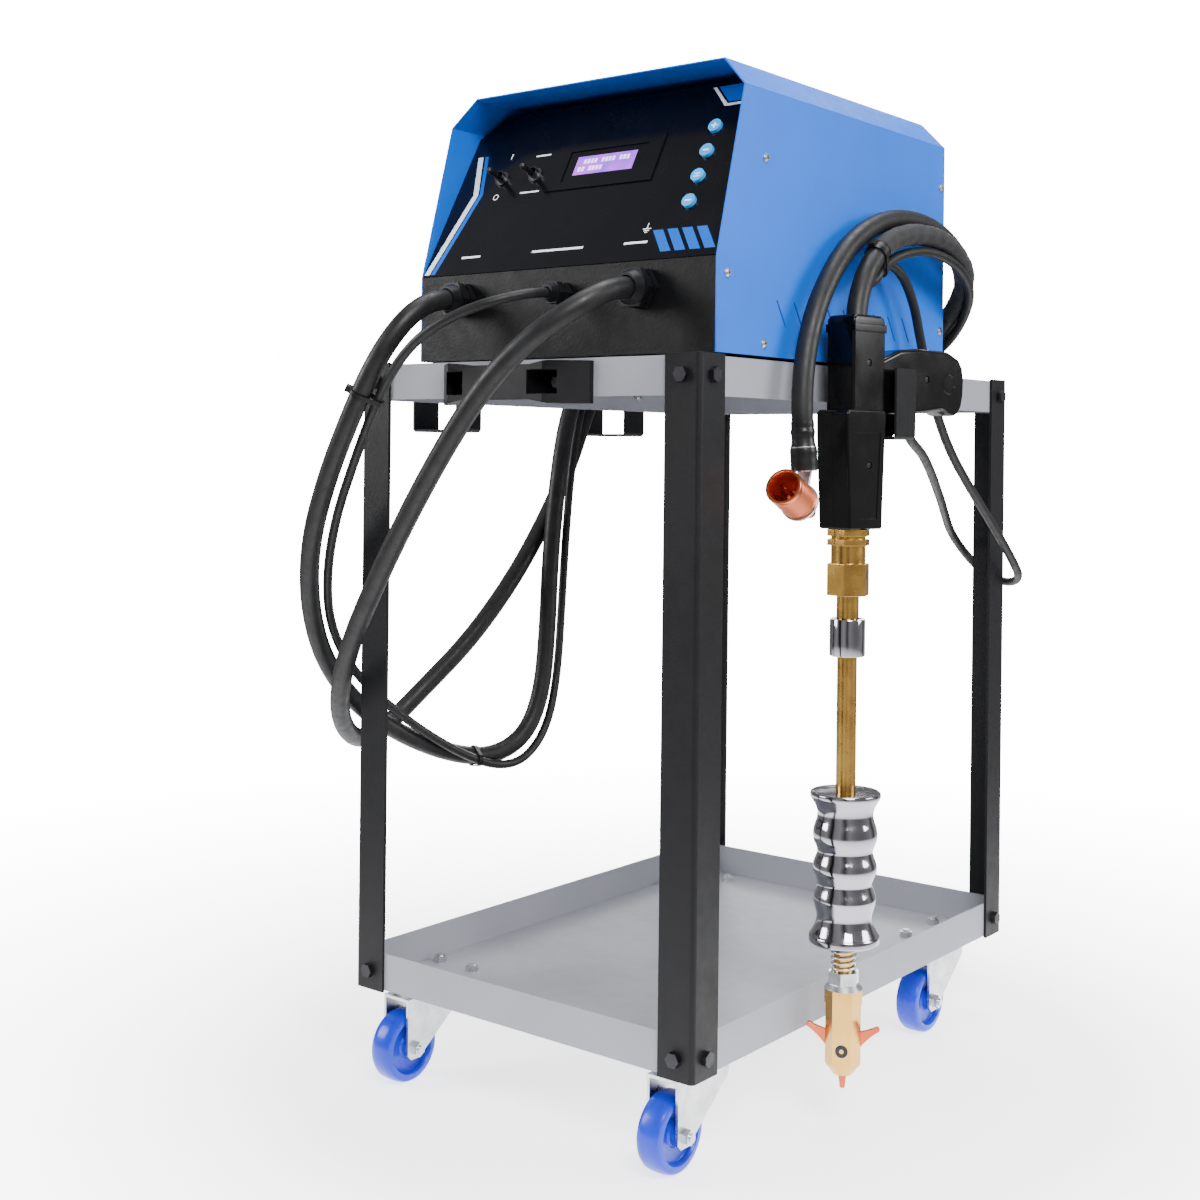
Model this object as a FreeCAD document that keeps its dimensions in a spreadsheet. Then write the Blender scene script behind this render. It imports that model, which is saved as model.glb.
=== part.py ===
import FreeCAD, Part
import math
import os
import re

import Sketcher
from FreeCAD import Placement, Rotation, Vector

# Spot welder for pulling dents: a power unit on a two-tray trolley with casters, and a welding
# gun with a slide hammer that hangs nose down in a hook on the trolley's right side.
# Row frame: +X right, +Y to the back, +Z up, millimetres, floor at z = 0.
# Sketches of the trolley and the power unit are drawn about the trolley's centre line, and each
# body's Placement carries them to the row frame.

DIMENSIONS = {
    # origin of the row frame, seen from the trolley's centre
    "trolley_x": -5.135,
    "trolley_y": 13.85,
    # trolley
    "trolley_width": 440,
    "trolley_depth": 642,
    "angle_leg": 40,
    "angle_sheet": 3,
    "angle_bend": 5,
    "post_base": 98,
    "post_height": 664,
    "bolt_inset": 20,
    "tray_sheet": 2,
    "top_tray_low": 723,
    "top_tray_high": 760,
    "low_tray_low": 100,
    "low_tray_high": 138.4,
    "tray_corner": 3,
    "bolt_radius": 4,
    "bolt_gap": 0.3,
    "bolt_across": 13,
    "bolt_head": 5.3,
    "nut_height": 6.5,
    # casters
    "kingpin_x": 175,
    "kingpin_y": 248,
    "caster_plate_x": 67,
    "caster_plate_y": 95,
    "caster_plate_sheet": 2.5,
    "caster_hole_x": 49,
    "caster_hole_y": 70,
    "race_radius": 24,
    "race_height": 5.5,
    "kingpin_radius": 5,
    "kingpin_head": 9,
    "fork_top": 90.5,
    "fork_sheet": 3,
    "fork_gap": 30.4,
    "fork_disc": 27,
    "caster_trail": 45,
    "wheel_radius": 37.5,
    "wheel_width": 27,
    "hub_width": 29.8,
    "hub_radius": 11,
    "axle_radius": 4,
    "running_gap": 0.05,
    # front handle and hooks
    "handle_x": -1.5,
    "handle_length": 191,
    "handle_low": 716,
    "handle_high": 757,
    "handle_reach": 36,
    "handle_bar": 14,
    "handle_bolt_x": 57,
    "small_bolt_radius": 3,
    "small_bolt_across": 10,
    "small_bolt_head": 4,
    "small_nut_height": 5,
    "strap": 3,
    "strap_width": 40,
    "hook_reach": 68,
    "hook_low": 691,
    "hook_inner_top": 754,
    "hook_outer_top": 757,
    "hook_bend": 5,
    "gun_hook_low": 686,
    "left_front_hook_y": -157,
    "left_back_hook_y": 155,
    "gun_hook_y": -59,
    # power unit
    "unit_left": -158,
    "unit_right": 220,
    "unit_front": -296.6,
    "unit_back": 152.6,
    "unit_low": 763,
    "unit_knee": 851.5,
    "unit_shoulder": 1017,
    "unit_high": 1046.6,
    "unit_bevel": 29,
    "hood_front": -245.2,
    "cover_sheet": 1.5,
    "chassis_sheet": 2,
    "cover_gap": 0.2,
    "panel_lean": 28.65,
    "panel_length": 213,
    "panel_sheet": 2,
    "panel_gap": 0.5,
    "foot_radius": 15,
    "screw_radius": 2,
    "screw_head_radius": 4.5,
    "screw_head_height": 2.6,
    "vent_pitch": 31.3,
    "vent_length": 30,
    "vent_width": 2.2,
    "vent_lean": 33,
    # control panel fittings, measured along the panel from its lower edge
    "display_x": 40,
    "display_up": 126,
    "display_width": 100,
    "display_height": 38,
    "bezel_width": 137,
    "bezel_height": 58,
    "button_x": 166.5,
    "button_low": 65,
    "button_pitch": 29.6,
    "button_radius": 7.3,
    "button_proud": 3.5,
    "button_travel": 1.5,
    "toggle_up": 121,
    "power_toggle_x": -96,
    "mode_toggle_x": -50,
    # cable glands
    "gland_up": 825,
    "gland_reach": 27,
    "main_gland_x": -97,
    "signal_gland_x": 38,
    "earth_gland_x": 135,
    "mains_gland_x": -100,
    "weld_cable": 21,
    "signal_cable": 10,
    # transformer
    "core_x": 31,
    "core_y": -10,
    "core_low": 765,
    "core_width": 170,
    "core_depth": 100,
    "core_height": 150,
    "core_limb": 45,
    "core_window": 40,
    "coil_thick": 34,
    "coil_height": 46,
    # gun
    "gun_x": 254.5,
    "gun_y": -113,
    "gun_turn": -10,
    "body_half": 20,
    "grip_half": 15,
    "guard_half": 7,
    "shell_wall": 3,
    "trigger_half": 6,
    "trigger_travel": 4,
    "rod_radius": 9.75,
    "rod_gap": 0.1,
    "chuck_low": 508.6,
    "chuck_collar": 531.5,
    "chuck_shoulder": 563,
    "chuck_radius": 17,
    "nose_high": 597,
    "collar_radius": 17.5,
    "collar_low": 471.3,
    "hammer_low": 189,
    "hammer_high": 338,
    "spring_low": 161.2,
    "spring_wire": 1.2,
    "lock_nut_low": 144,
    "holder_low": 60,
    "holder_across": 32.3,
    "holder_slot_high": 128.5,
    "rod_end": 130,
    "holder_turn": -64.4,
    "star_height": 86,
    "star_reach": 41,
    "star_sheet": 4,
    "star_slot": 4.8,
    "pin_radius": 6,
    # earth clamp
    "clamp_x": 246,
    "clamp_y": -190.5,
    "clamp_z": 623.7,
    "cup_radius": 18,
    "cup_length": 43,
}

CORNERS = (("front_left", -1, -1), ("front_right", 1, -1), ("back_left", -1, 1), ("back_right", 1, 1))

doc = FreeCAD.newDocument("SpotWelder")
sheet = doc.addObject("Spreadsheet::Sheet", "Sizes")
for row, (alias, number) in enumerate(DIMENSIONS.items(), start=1):
    sheet.set(f"A{row}", alias)
    sheet.set(f"B{row}", str(number))
    sheet.setAlias(f"B{row}", alias)
doc.recompute()

NODES = {}


# ---------------------------------------------------------------- expressions and placements

def formula(text):
    """Turn the plain aliases in a text into references to the sheet."""
    return re.sub(r"[a-z_]+", lambda m: "Sizes." + m.group(0) if m.group(0) in DIMENSIONS else m.group(0),
                  str(text))


def size(text):
    """Number that an expression of aliases gives."""
    result = sheet.evalExpression(formula(text))
    return float(getattr(result, "Value", result))


def bind(obj, prop, text):
    obj.setExpression(prop, formula(text))


def node(obj, name):
    """Keep a finished sub-part under its node name."""
    obj.Label = name
    NODES[name] = obj
    return obj


def place_on_trolley(obj, x="0", y="0", z="0"):
    bind(obj, "Placement.Base.x", f"trolley_x + ({x})")
    bind(obj, "Placement.Base.y", f"trolley_y + ({y})")
    bind(obj, "Placement.Base.z", z)


def place_on_gun(obj, turn="gun_turn"):
    """Gun frame: its Z axis is the pull rod's axis, its +Y is the grip's direction."""
    place_on_trolley(obj, "gun_x", "gun_y")
    bind(obj, "Placement.Rotation.Angle", turn)


def place_on_panel(obj):
    """Panel frame: origin at the middle of the panel's lower edge, +Z up along the panel."""
    place_on_trolley(obj, "0", "unit_front", "unit_knee")
    obj.Placement = Placement(obj.Placement.Base, Rotation(Vector(1, 0, 0), -1))
    bind(obj, "Placement.Rotation.Angle", "-panel_lean")


def trolley_placement(x="0", y="0", z="0"):
    return Placement(Vector(size("trolley_x") + size(x), size("trolley_y") + size(y), size(z)), Rotation())


def gun_placement(turn="gun_turn"):
    base = trolley_placement("gun_x", "gun_y").Base
    return Placement(base, Rotation(Vector(0, 0, 1), size(turn)))


def panel_placement():
    base = trolley_placement("0", "unit_front", "unit_knee").Base
    return Placement(base, Rotation(Vector(1, 0, 0), -size("panel_lean")))


# ---------------------------------------------------------------- bodies and sketches

def new_body(name):
    return doc.addObject("PartDesign::Body", name)


def new_sketch(body, plane, offset="0"):
    """Sketch on one of the body's own origin planes: XY, XZ or YZ."""
    sketch = body.newObject("Sketcher::SketchObject", f"{body.Name}_sketch")
    support = next(f for f in body.Origin.OriginFeatures if f.Role == f"{plane}_Plane")
    sketch.AttachmentSupport = (support, [""])
    sketch.MapMode = "FlatFace"
    bind(sketch, "AttachmentOffset.Base.z", offset)
    return sketch


def pin_point(sketch, geometry, point, x, y):
    for kind, text in (("DistanceX", x), ("DistanceY", y)):
        constraint = Sketcher.Constraint(kind, -1, 1, geometry, point, size(text))
        index = sketch.addConstraint(constraint)
        bind(sketch, f"Constraints[{index}]", text)


def add_loop(sketch, corners):
    """Closed outline through corners given as pairs of expressions."""
    points = [Vector(size(x), size(y), 0) for x, y in corners]
    first = sketch.GeometryCount
    count = len(points)
    for k in range(count):
        sketch.addGeometry(Part.LineSegment(points[k], points[(k + 1) % count]), False)
    for k in range(count):
        joint = Sketcher.Constraint("Coincident", first + k, 2, first + (k + 1) % count, 1)
        sketch.addConstraint(joint)
    for k, (x, y) in enumerate(corners):
        pin_point(sketch, first + k, 1, x, y)


def add_circle(sketch, x, y, radius):
    circle = Part.Circle(Vector(size(x), size(y), 0), Vector(0, 0, 1), size(radius))
    index = sketch.addGeometry(circle, False)
    pin_point(sketch, index, 3, x, y)
    constraint = sketch.addConstraint(Sketcher.Constraint("Radius", index, size(radius)))
    bind(sketch, f"Constraints[{constraint}]", radius)


def rectangle(low_x, low_y, high_x, high_y):
    return [(low_x, low_y), (high_x, low_y), (high_x, high_y), (low_x, high_y)]


def pad(body, sketch, length, symmetric=False, backwards=False):
    feature = body.newObject("PartDesign::Pad", f"{body.Name}_pad")
    feature.Profile = sketch
    bind(feature, "Length", length)
    if symmetric:
        feature.SideType = "Symmetric"
    feature.Reversed = backwards
    doc.recompute()
    return feature


def pocket(body, sketch, depth=None, backwards=False):
    """Cut a sketch out of the body: right through both ways, or one way to a depth."""
    before = body.Shape.Volume
    feature = body.newObject("PartDesign::Pocket", f"{body.Name}_pocket")
    feature.Profile = sketch
    if depth is None:
        feature.Type = "ThroughAll"
        feature.SideType = "Symmetric"
    else:
        bind(feature, "Length", depth)
        feature.Reversed = backwards
    doc.recompute()
    if body.Shape.Volume > before - 0.5:
        raise RuntimeError(f"{feature.Name} cuts nothing")
    return feature


def round_edges(body, radius, wanted):
    """Fillet the edges of the body's tip that a test on the edge's centre and direction picks."""
    tip = body.Tip
    names = []
    for index, edge in enumerate(tip.Shape.Edges, start=1):
        if edge.Curve.TypeId != "Part::GeomLine":
            continue
        if wanted(edge.CenterOfMass, edge.tangentAt(edge.FirstParameter)):
            names.append(f"Edge{index}")
    feature = body.newObject("PartDesign::Fillet", f"{body.Name}_fillet")
    feature.Base = (tip, names)
    bind(feature, "Radius", radius)
    doc.recompute()
    return feature


def plain_cylinder(name, radius, height, x="0", y="0", z="0", along=None):
    item = doc.addObject("Part::Cylinder", name)
    bind(item, "Radius", radius)
    bind(item, "Height", height)
    if along is not None:
        item.Placement = Placement(Vector(), Rotation(Vector(0, 0, 1), along))
    bind(item, "Placement.Base.x", x)
    bind(item, "Placement.Base.y", y)
    bind(item, "Placement.Base.z", z)
    return item


def plain_cone(name, low_radius, high_radius, height, z="0"):
    item = doc.addObject("Part::Cone", name)
    bind(item, "Radius1", low_radius)
    bind(item, "Radius2", high_radius)
    bind(item, "Height", height)
    bind(item, "Placement.Base.z", z)
    return item


def plain_box(name, low, high):
    item = doc.addObject("Part::Box", name)
    for prop, a, b in zip(("Length", "Width", "Height"), low, high):
        bind(item, prop, f"({b}) - ({a})")
    for axis, a in zip("xyz", low):
        bind(item, f"Placement.Base.{axis}", a)
    return item


def hex_prism(name, across, height, z="0"):
    item = doc.addObject("Part::Prism", name)
    item.Polygon = 6
    bind(item, "Circumradius", f"({across}) / 2 / cos(30)")
    bind(item, "Height", height)
    bind(item, "Placement.Base.z", z)
    return item


def fuse(name, items):
    item = doc.addObject("Part::MultiFuse", name)
    item.Shapes = items
    return item


def cut(name, base, tool):
    item = doc.addObject("Part::Cut", name)
    item.Base = base
    item.Tool = tool
    return item


def common(name, items):
    item = doc.addObject("Part::MultiCommon", name)
    item.Shapes = items
    return item


def group(name, items):
    item = doc.addObject("Part::Compound", name)
    item.Links = items
    return item


def shaped(name, shape, placement):
    """Sub-part whose shape comes from Part's own functions."""
    item = doc.addObject("Part::Feature", name)
    item.Shape = shape
    item.Placement = placement.multiply(shape.Placement)
    return item


# ---------------------------------------------------------------- fasteners

def hexagon_solid(across, height, z=0.0):
    corners = []
    for k in range(7):
        angle = math.radians(60 * k)
        corners.append(Vector(math.cos(angle), math.sin(angle), 0) * (across / 2 / math.cos(math.pi / 6)))
    prism = Part.Face(Part.makePolygon(corners)).extrude(Vector(0, 0, height))
    prism.translate(Vector(0, 0, z))
    return prism


def bolt_and_nut(seat, outward, grip, radius, across, head, nut_height):
    """Hex bolt with its nut: the head sits on seat, the nut clamps at depth grip."""
    shank = Part.makeCylinder(radius, grip + nut_height + 2, Vector(0, 0, -(grip + nut_height + 2)))
    bolt = hexagon_solid(across, head).fuse(shank)
    hole = Part.makeCylinder(radius + 0.02, nut_height + 2, Vector(0, 0, -grip - nut_height - 1))
    nut = hexagon_solid(across, nut_height, -grip - nut_height).cut(hole)
    where = Placement(seat, Rotation(Vector(0, 0, 1), outward))
    solids = [bolt.Solids[0], nut.Solids[0]]
    for solid in solids:
        solid.Placement = where
    return solids


# ---------------------------------------------------------------- trolley

BOLT_HOLE = "bolt_radius + bolt_gap"
SMALL_HOLE = "small_bolt_radius + bolt_gap"
POST_BOLT_LOW = "post_base + bolt_inset"
POST_BOLT_HIGH = "post_base + post_height - bolt_inset"


def make_post(name, side_x, side_y):
    """Angle-iron corner post, bend outwards, with a bolt hole near each end of each leg."""
    body = new_body(name)
    edge_x = f"{side_x} * trolley_width / 2"
    edge_y = f"{side_y} * trolley_depth / 2"
    sketch = new_sketch(body, "XY", "post_base")
    add_loop(sketch, [
        (edge_x, edge_y),
        (f"{edge_x} - {side_x} * angle_leg", edge_y),
        (f"{edge_x} - {side_x} * angle_leg", f"{edge_y} - {side_y} * angle_sheet"),
        (f"{edge_x} - {side_x} * angle_sheet", f"{edge_y} - {side_y} * angle_sheet"),
        (f"{edge_x} - {side_x} * angle_sheet", f"{edge_y} - {side_y} * angle_leg"),
        (edge_x, f"{edge_y} - {side_y} * angle_leg"),
    ])
    pad(body, sketch, "post_height")
    corner = Vector(size(edge_x), size(edge_y), 0)
    round_edges(body, "angle_bend", lambda c, d: abs(d.z) > 0.9 and math.hypot(c.x - corner.x, c.y - corner.y) < 0.1)
    for plane, edge, side in (("XZ", edge_x, side_x), ("YZ", edge_y, side_y)):
        holes = new_sketch(body, plane)
        for height in (POST_BOLT_LOW, POST_BOLT_HIGH):
            add_circle(holes, f"{edge} - {side} * bolt_inset", height, BOLT_HOLE)
        pocket(body, holes)
    place_on_trolley(body)
    return node(body, name)


def make_tray(name, low, high, floor_down):
    """Folded tray; floor_down puts its sheet floor at the bottom, else at the top."""
    body = new_body(name)
    half_x = "trolley_width / 2 - angle_sheet"
    half_y = "trolley_depth / 2 - angle_sheet"
    outline = new_sketch(body, "XY", low)
    add_loop(outline, rectangle(f"-({half_x})", f"-({half_y})", half_x, half_y))
    pad(body, outline, f"({high}) - ({low})")
    round_edges(body, "tray_corner", lambda c, d: abs(d.z) > 0.9)
    inner_x = f"({half_x} - tray_sheet)"
    inner_y = f"({half_y} - tray_sheet)"
    hollow = new_sketch(body, "XY", high if floor_down else low)
    add_loop(hollow, rectangle(f"-{inner_x}", f"-{inner_y}", inner_x, inner_y))
    pocket(body, hollow, f"({high}) - ({low}) - tray_sheet", backwards=not floor_down)
    height = POST_BOLT_LOW if floor_down else POST_BOLT_HIGH
    for plane, half in (("XZ", "trolley_width / 2"), ("YZ", "trolley_depth / 2")):
        holes = new_sketch(body, plane)
        for side in (-1, 1):
            add_circle(holes, f"{side} * ({half} - bolt_inset)", height, BOLT_HOLE)
        pocket(body, holes)
    return body


def make_top_tray():
    body = make_tray("top_tray", "top_tray_low", "top_tray_high", floor_down=False)
    handle_holes = new_sketch(body, "XZ")
    for side in (-1, 1):
        add_circle(handle_holes, f"handle_x + {side} * handle_bolt_x", HANDLE_BOLT_UP, SMALL_HOLE)
    pocket(body, handle_holes, "trolley_depth / 2", backwards=True)
    left_holes = new_sketch(body, "YZ")
    for where in ("left_front_hook_y", "left_back_hook_y"):
        add_circle(left_holes, where, HOOK_BOLT_UP, SMALL_HOLE)
    pocket(body, left_holes, "trolley_width / 2", backwards=False)
    right_hole = new_sketch(body, "YZ")
    add_circle(right_hole, "gun_hook_y", HOOK_BOLT_UP, SMALL_HOLE)
    pocket(body, right_hole, "trolley_width / 2", backwards=True)
    feet_holes = new_sketch(body, "XY", "top_tray_high")
    for x, y in FOOT_PLACES:
        add_circle(feet_holes, x, y, SMALL_HOLE)
    pocket(body, feet_holes, "tray_sheet * 2")
    place_on_trolley(body)
    node(body, "top_tray")


def make_bottom_tray():
    body = make_tray("bottom_tray", "low_tray_low", "low_tray_high", floor_down=True)
    holes = new_sketch(body, "XY", "low_tray_low + tray_sheet")
    for _, side_x, side_y in CORNERS:
        for x, y in caster_hole_places(side_x, side_y):
            add_circle(holes, x, y, BOLT_HOLE)
    pocket(body, holes, "tray_sheet * 2")
    place_on_trolley(body)
    node(body, "bottom_tray")


def make_tray_bolts():
    solids = []
    half_x = size("trolley_width / 2")
    half_y = size("trolley_depth / 2")
    inset = size("bolt_inset")
    for _, side_x, side_y in CORNERS:
        for height in (size(POST_BOLT_LOW), size(POST_BOLT_HIGH)):
            seats = (
                (Vector(side_x * (half_x - inset), side_y * half_y, height), Vector(0, side_y, 0)),
                (Vector(side_x * half_x, side_y * (half_y - inset), height), Vector(side_x, 0, 0)),
            )
            for seat, outward in seats:
                solids += bolt_and_nut(seat, outward, size("angle_sheet + tray_sheet"), size("bolt_radius"),
                                       size("bolt_across"), size("bolt_head"), size("nut_height"))
    node(shaped("tray_bolts", Part.makeCompound(solids), trolley_placement()), "tray_bolts")


# ---------------------------------------------------------------- casters

def caster_hole_places(side_x, side_y):
    places = []
    for hole_x in (-1, 1):
        for hole_y in (-1, 1):
            places.append((f"{side_x} * kingpin_x + {hole_x} * caster_hole_x / 2",
                           f"{side_y} * kingpin_y + {hole_y} * caster_hole_y / 2"))
    return places


def make_caster_plate(side_x, side_y):
    """Caster plate with the upper bearing race and the kingpin that carries the fork."""
    tag = f"caster_plate_{side_x + 1}{side_y + 1}"
    under = "low_tray_low - caster_plate_sheet"
    race_low = f"{under} - race_height"
    head_high = "fork_top - fork_sheet - 0.3"
    plate = plain_box(f"{tag}_blank", ("-caster_plate_x / 2", "-caster_plate_y / 2", under),
                      ("caster_plate_x / 2", "caster_plate_y / 2", "low_tray_low"))
    holes = []
    for hole_x in (-1, 1):
        for hole_y in (-1, 1):
            holes.append(plain_cylinder(f"{tag}_hole", BOLT_HOLE, "3 * caster_plate_sheet",
                                        f"{hole_x} * caster_hole_x / 2", f"{hole_y} * caster_hole_y / 2",
                                        f"{under} - caster_plate_sheet"))
    drilled = cut(f"{tag}_drilled", plate, fuse(f"{tag}_holes", holes))
    race = plain_cylinder(f"{tag}_race", "race_radius", "race_height", z=race_low)
    kingpin = plain_cylinder(f"{tag}_kingpin", "kingpin_radius", f"{race_low} - ({head_high}) + 1",
                             z=f"{head_high} - 1")
    head = plain_cylinder(f"{tag}_head", "kingpin_head", "3.2", z=f"{head_high} - 3.2")
    item = fuse(tag, [drilled, race, kingpin, head])
    place_on_trolley(item, f"{side_x} * kingpin_x", f"{side_y} * kingpin_y")
    return item


def make_fork(name, side_x, side_y):
    """Caster fork: a top disc and two tapering legs round the axle, with the axle bolt and its nut."""
    body = new_body(f"{name}_pressing")
    outer = "fork_gap / 2 + fork_sheet"
    legs = new_sketch(body, "YZ")
    add_loop(legs, [
        ("26", "fork_top"),
        ("-(caster_trail + 12)", "fork_top"),
        ("-(caster_trail + 12)", "wheel_radius - 6"),
        ("-(caster_trail + 7)", "wheel_radius - 11"),
        ("-(caster_trail - 7)", "wheel_radius - 11"),
        ("-(caster_trail - 12)", "wheel_radius - 6"),
        ("26", "fork_top - 14"),
    ])
    pad(body, legs, f"2 * ({outer})", symmetric=True)
    inside = new_sketch(body, "XZ")
    add_loop(inside, rectangle("-fork_gap / 2", "0", "fork_gap / 2", "fork_top - fork_sheet"))
    pocket(body, inside)
    disc = new_sketch(body, "XY", "fork_top - fork_sheet")
    add_circle(disc, "0", "0", "fork_disc")
    pad(body, disc, "fork_sheet")
    pin_hole = new_sketch(body, "XY", "fork_top")
    add_circle(pin_hole, "0", "0", "kingpin_radius + running_gap")
    pocket(body, pin_hole, "2 * fork_sheet")
    axle_hole = new_sketch(body, "YZ")
    add_circle(axle_hole, "-caster_trail", "wheel_radius", "axle_radius + running_gap")
    pocket(body, axle_hole)
    grip = size(f"2 * ({outer})")
    seat = Vector(-grip / 2, -size("caster_trail"), size("wheel_radius"))
    axle = bolt_and_nut(seat, Vector(-1, 0, 0), grip, size("axle_radius"), size("bolt_across"),
                        size("bolt_head"), size("nut_height"))
    axle_item = shaped(f"{name}_axle", Part.makeCompound(axle), Placement())
    item = group(name, [body, axle_item])
    place_on_trolley(item, f"{side_x} * kingpin_x", f"{side_y} * kingpin_y")
    return node(item, name)


def make_wheel(name, side_x, side_y):
    """Moulded caster wheel, turned about its axle along X, with a crowned tread and a long hub."""
    body = new_body(name)
    section = new_sketch(body, "XY")
    bore = "axle_radius + running_gap"
    half = [
        ("hub_width / 2", bore),
        ("hub_width / 2", "hub_radius"),
        ("wheel_width / 2 - 4", "hub_radius + 3"),
        ("wheel_width / 2 - 4", "wheel_radius - 12"),
        ("wheel_width / 2", "wheel_radius - 9"),
        ("wheel_width / 2", "wheel_radius - 3.5"),
        ("wheel_width / 2 - 3", "wheel_radius - 0.9"),
        ("wheel_width / 2 - 7", "wheel_radius"),
    ]
    mirrored = [(f"-({x})", y) for x, y in reversed(half)]
    add_loop(section, half + mirrored)
    turned = body.newObject("PartDesign::Revolution", f"{name}_turned")
    turned.Profile = section
    turned.ReferenceAxis = (section, ["H_Axis"])
    turned.Angle = 360
    doc.recompute()
    place_on_trolley(body, f"{side_x} * kingpin_x", f"{side_y} * kingpin_y - caster_trail", "wheel_radius")
    return node(body, name)


def make_caster_bolts():
    solids = []
    under = size("low_tray_low - caster_plate_sheet")
    grip = size("caster_plate_sheet + tray_sheet")
    for _, side_x, side_y in CORNERS:
        for x, y in caster_hole_places(side_x, side_y):
            solids += bolt_and_nut(Vector(size(x), size(y), under), Vector(0, 0, -1), grip,
                                   size("bolt_radius"), size("bolt_across"), 5.0, size("nut_height"))
    node(shaped("caster_bolts", Part.makeCompound(solids), trolley_placement()), "caster_bolts")


def make_casters():
    plates = [make_caster_plate(side_x, side_y) for _, side_x, side_y in CORNERS]
    node(group("caster_plates", plates), "caster_plates")
    for corner, side_x, side_y in CORNERS:
        make_fork(f"caster_fork_{corner}", side_x, side_y)
        make_wheel(f"caster_wheel_{corner}", side_x, side_y)
    make_caster_bolts()


# ---------------------------------------------------------------- handle and hooks

HANDLE_BOLT_UP = "(handle_low + handle_high) / 2"
HOOK_BOLT_UP = "top_tray_high - 18"


def make_handle():
    """Moulded bridge handle: a bar with a finger gap behind it, and a bolt pocket in each sloped end."""
    body = new_body("front_handle")
    back = "-(trolley_depth / 2 - angle_sheet)"
    front = f"{back} - handle_reach"
    half = "handle_length / 2"
    outline = new_sketch(body, "XY", "handle_low")
    add_loop(outline, [
        (f"handle_x - {half}", back),
        (f"handle_x - {half}", f"{back} - 6"),
        (f"handle_x - {half} + 34", front),
        (f"handle_x + {half} - 34", front),
        (f"handle_x + {half}", f"{back} - 6"),
        (f"handle_x + {half}", back),
        (f"handle_x + {half} - 46", back),
        (f"handle_x + {half} - 56", f"{front} + handle_bar"),
        (f"handle_x - {half} + 56", f"{front} + handle_bar"),
        (f"handle_x - {half} + 46", back),
    ])
    pad(body, outline, "handle_high - handle_low")
    waist = new_sketch(body, "XZ")
    for edge, into in (("handle_high", -1), ("handle_low", 1)):
        add_loop(waist, [
            (f"handle_x - {half} + 30", edge),
            (f"handle_x - {half} + 50", f"{edge} + {into} * 3.5"),
            (f"handle_x + {half} - 50", f"{edge} + {into} * 3.5"),
            (f"handle_x + {half} - 30", edge),
        ])
    pocket(body, waist)
    seats = new_sketch(body, "XZ", "trolley_depth / 2 - angle_sheet + 7")
    holes = new_sketch(body, "XZ")
    for side in (-1, 1):
        add_loop(seats, rectangle(f"handle_x + {side} * handle_bolt_x - 15", "handle_low + 9",
                                  f"handle_x + {side} * handle_bolt_x + 15", "handle_high - 9"))
        add_circle(holes, f"handle_x + {side} * handle_bolt_x", HANDLE_BOLT_UP, SMALL_HOLE)
    pocket(body, seats, "handle_reach", backwards=True)
    pocket(body, holes)
    place_on_trolley(body)
    node(body, "front_handle")


def make_hook(name, side, where, low):
    """Strap bent to a U: the inner leg is bolted to the tray flange, the outer leg is free."""
    body = new_body(name)
    wall = f"{side} * (trolley_width / 2 - angle_sheet)"
    tip = f"{wall} + {side} * (hook_reach + strap)"
    sketch = new_sketch(body, "XZ", f"-({where})")
    add_loop(sketch, [
        (wall, "hook_inner_top"),
        (wall, low),
        (tip, low),
        (tip, "hook_outer_top"),
        (f"{tip} - {side} * strap", "hook_outer_top"),
        (f"{tip} - {side} * strap", f"{low} + strap"),
        (f"{wall} + {side} * strap", f"{low} + strap"),
        (f"{wall} + {side} * strap", "hook_inner_top"),
    ])
    pad(body, sketch, "strap_width", symmetric=True)
    bottom = size(low)
    round_edges(body, "hook_bend", lambda c, d: abs(d.y) > 0.9 and abs(c.z - bottom) < 0.1)
    hole = new_sketch(body, "YZ", wall)
    add_circle(hole, where, HOOK_BOLT_UP, SMALL_HOLE)
    pocket(body, hole, "strap * 2", backwards=side > 0)
    place_on_trolley(body)
    return node(body, name)


def make_fitting_bolts():
    """Small bolts: two hold the handle, one each hook."""
    flange_y = size("-(trolley_depth / 2 - angle_sheet)")
    flange_x = size("trolley_width / 2 - angle_sheet")
    sizes = (size("small_bolt_radius"), size("small_bolt_across"), size("small_bolt_head"),
             size("small_nut_height"))
    solids = []
    for side in (-1, 1):
        seat = Vector(size("handle_x") + side * size("handle_bolt_x"), flange_y - 7, size(HANDLE_BOLT_UP))
        solids += bolt_and_nut(seat, Vector(0, -1, 0), 7 + size("tray_sheet"), *sizes)
    for side, where in ((-1, "left_front_hook_y"), (-1, "left_back_hook_y"), (1, "gun_hook_y")):
        seat = Vector(side * (flange_x + size("strap")), size(where), size(HOOK_BOLT_UP))
        solids += bolt_and_nut(seat, Vector(side, 0, 0), size("strap + tray_sheet"), *sizes)
    node(shaped("fitting_bolts", Part.makeCompound(solids), trolley_placement()), "fitting_bolts")


# ---------------------------------------------------------------- power unit

FOOT_PLACES = [(x, y) for x in ("unit_left + 40", "unit_right - 40") for y in ("unit_front + 50", "unit_back - 45")]
SCREW_PLACES = [("unit_front + 16.6", "837"), ("-217", "775"), ("-217", "952"), ("143.5", "971"), ("143.5", "810")]


def cover_profile(inset):
    left = f"unit_left + {inset}"
    right = f"unit_right - {inset}"
    top = f"unit_high - {inset}"
    shoulder = f"unit_shoulder - {inset} * 0.41"
    bevel = f"(unit_bevel - {inset} * 0.59)"
    return [
        (left, "unit_low"), (right, "unit_low"), (right, shoulder), (f"{right} - {bevel}", top),
        (f"{left} + {bevel}", top), (left, shoulder),
    ]


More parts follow.
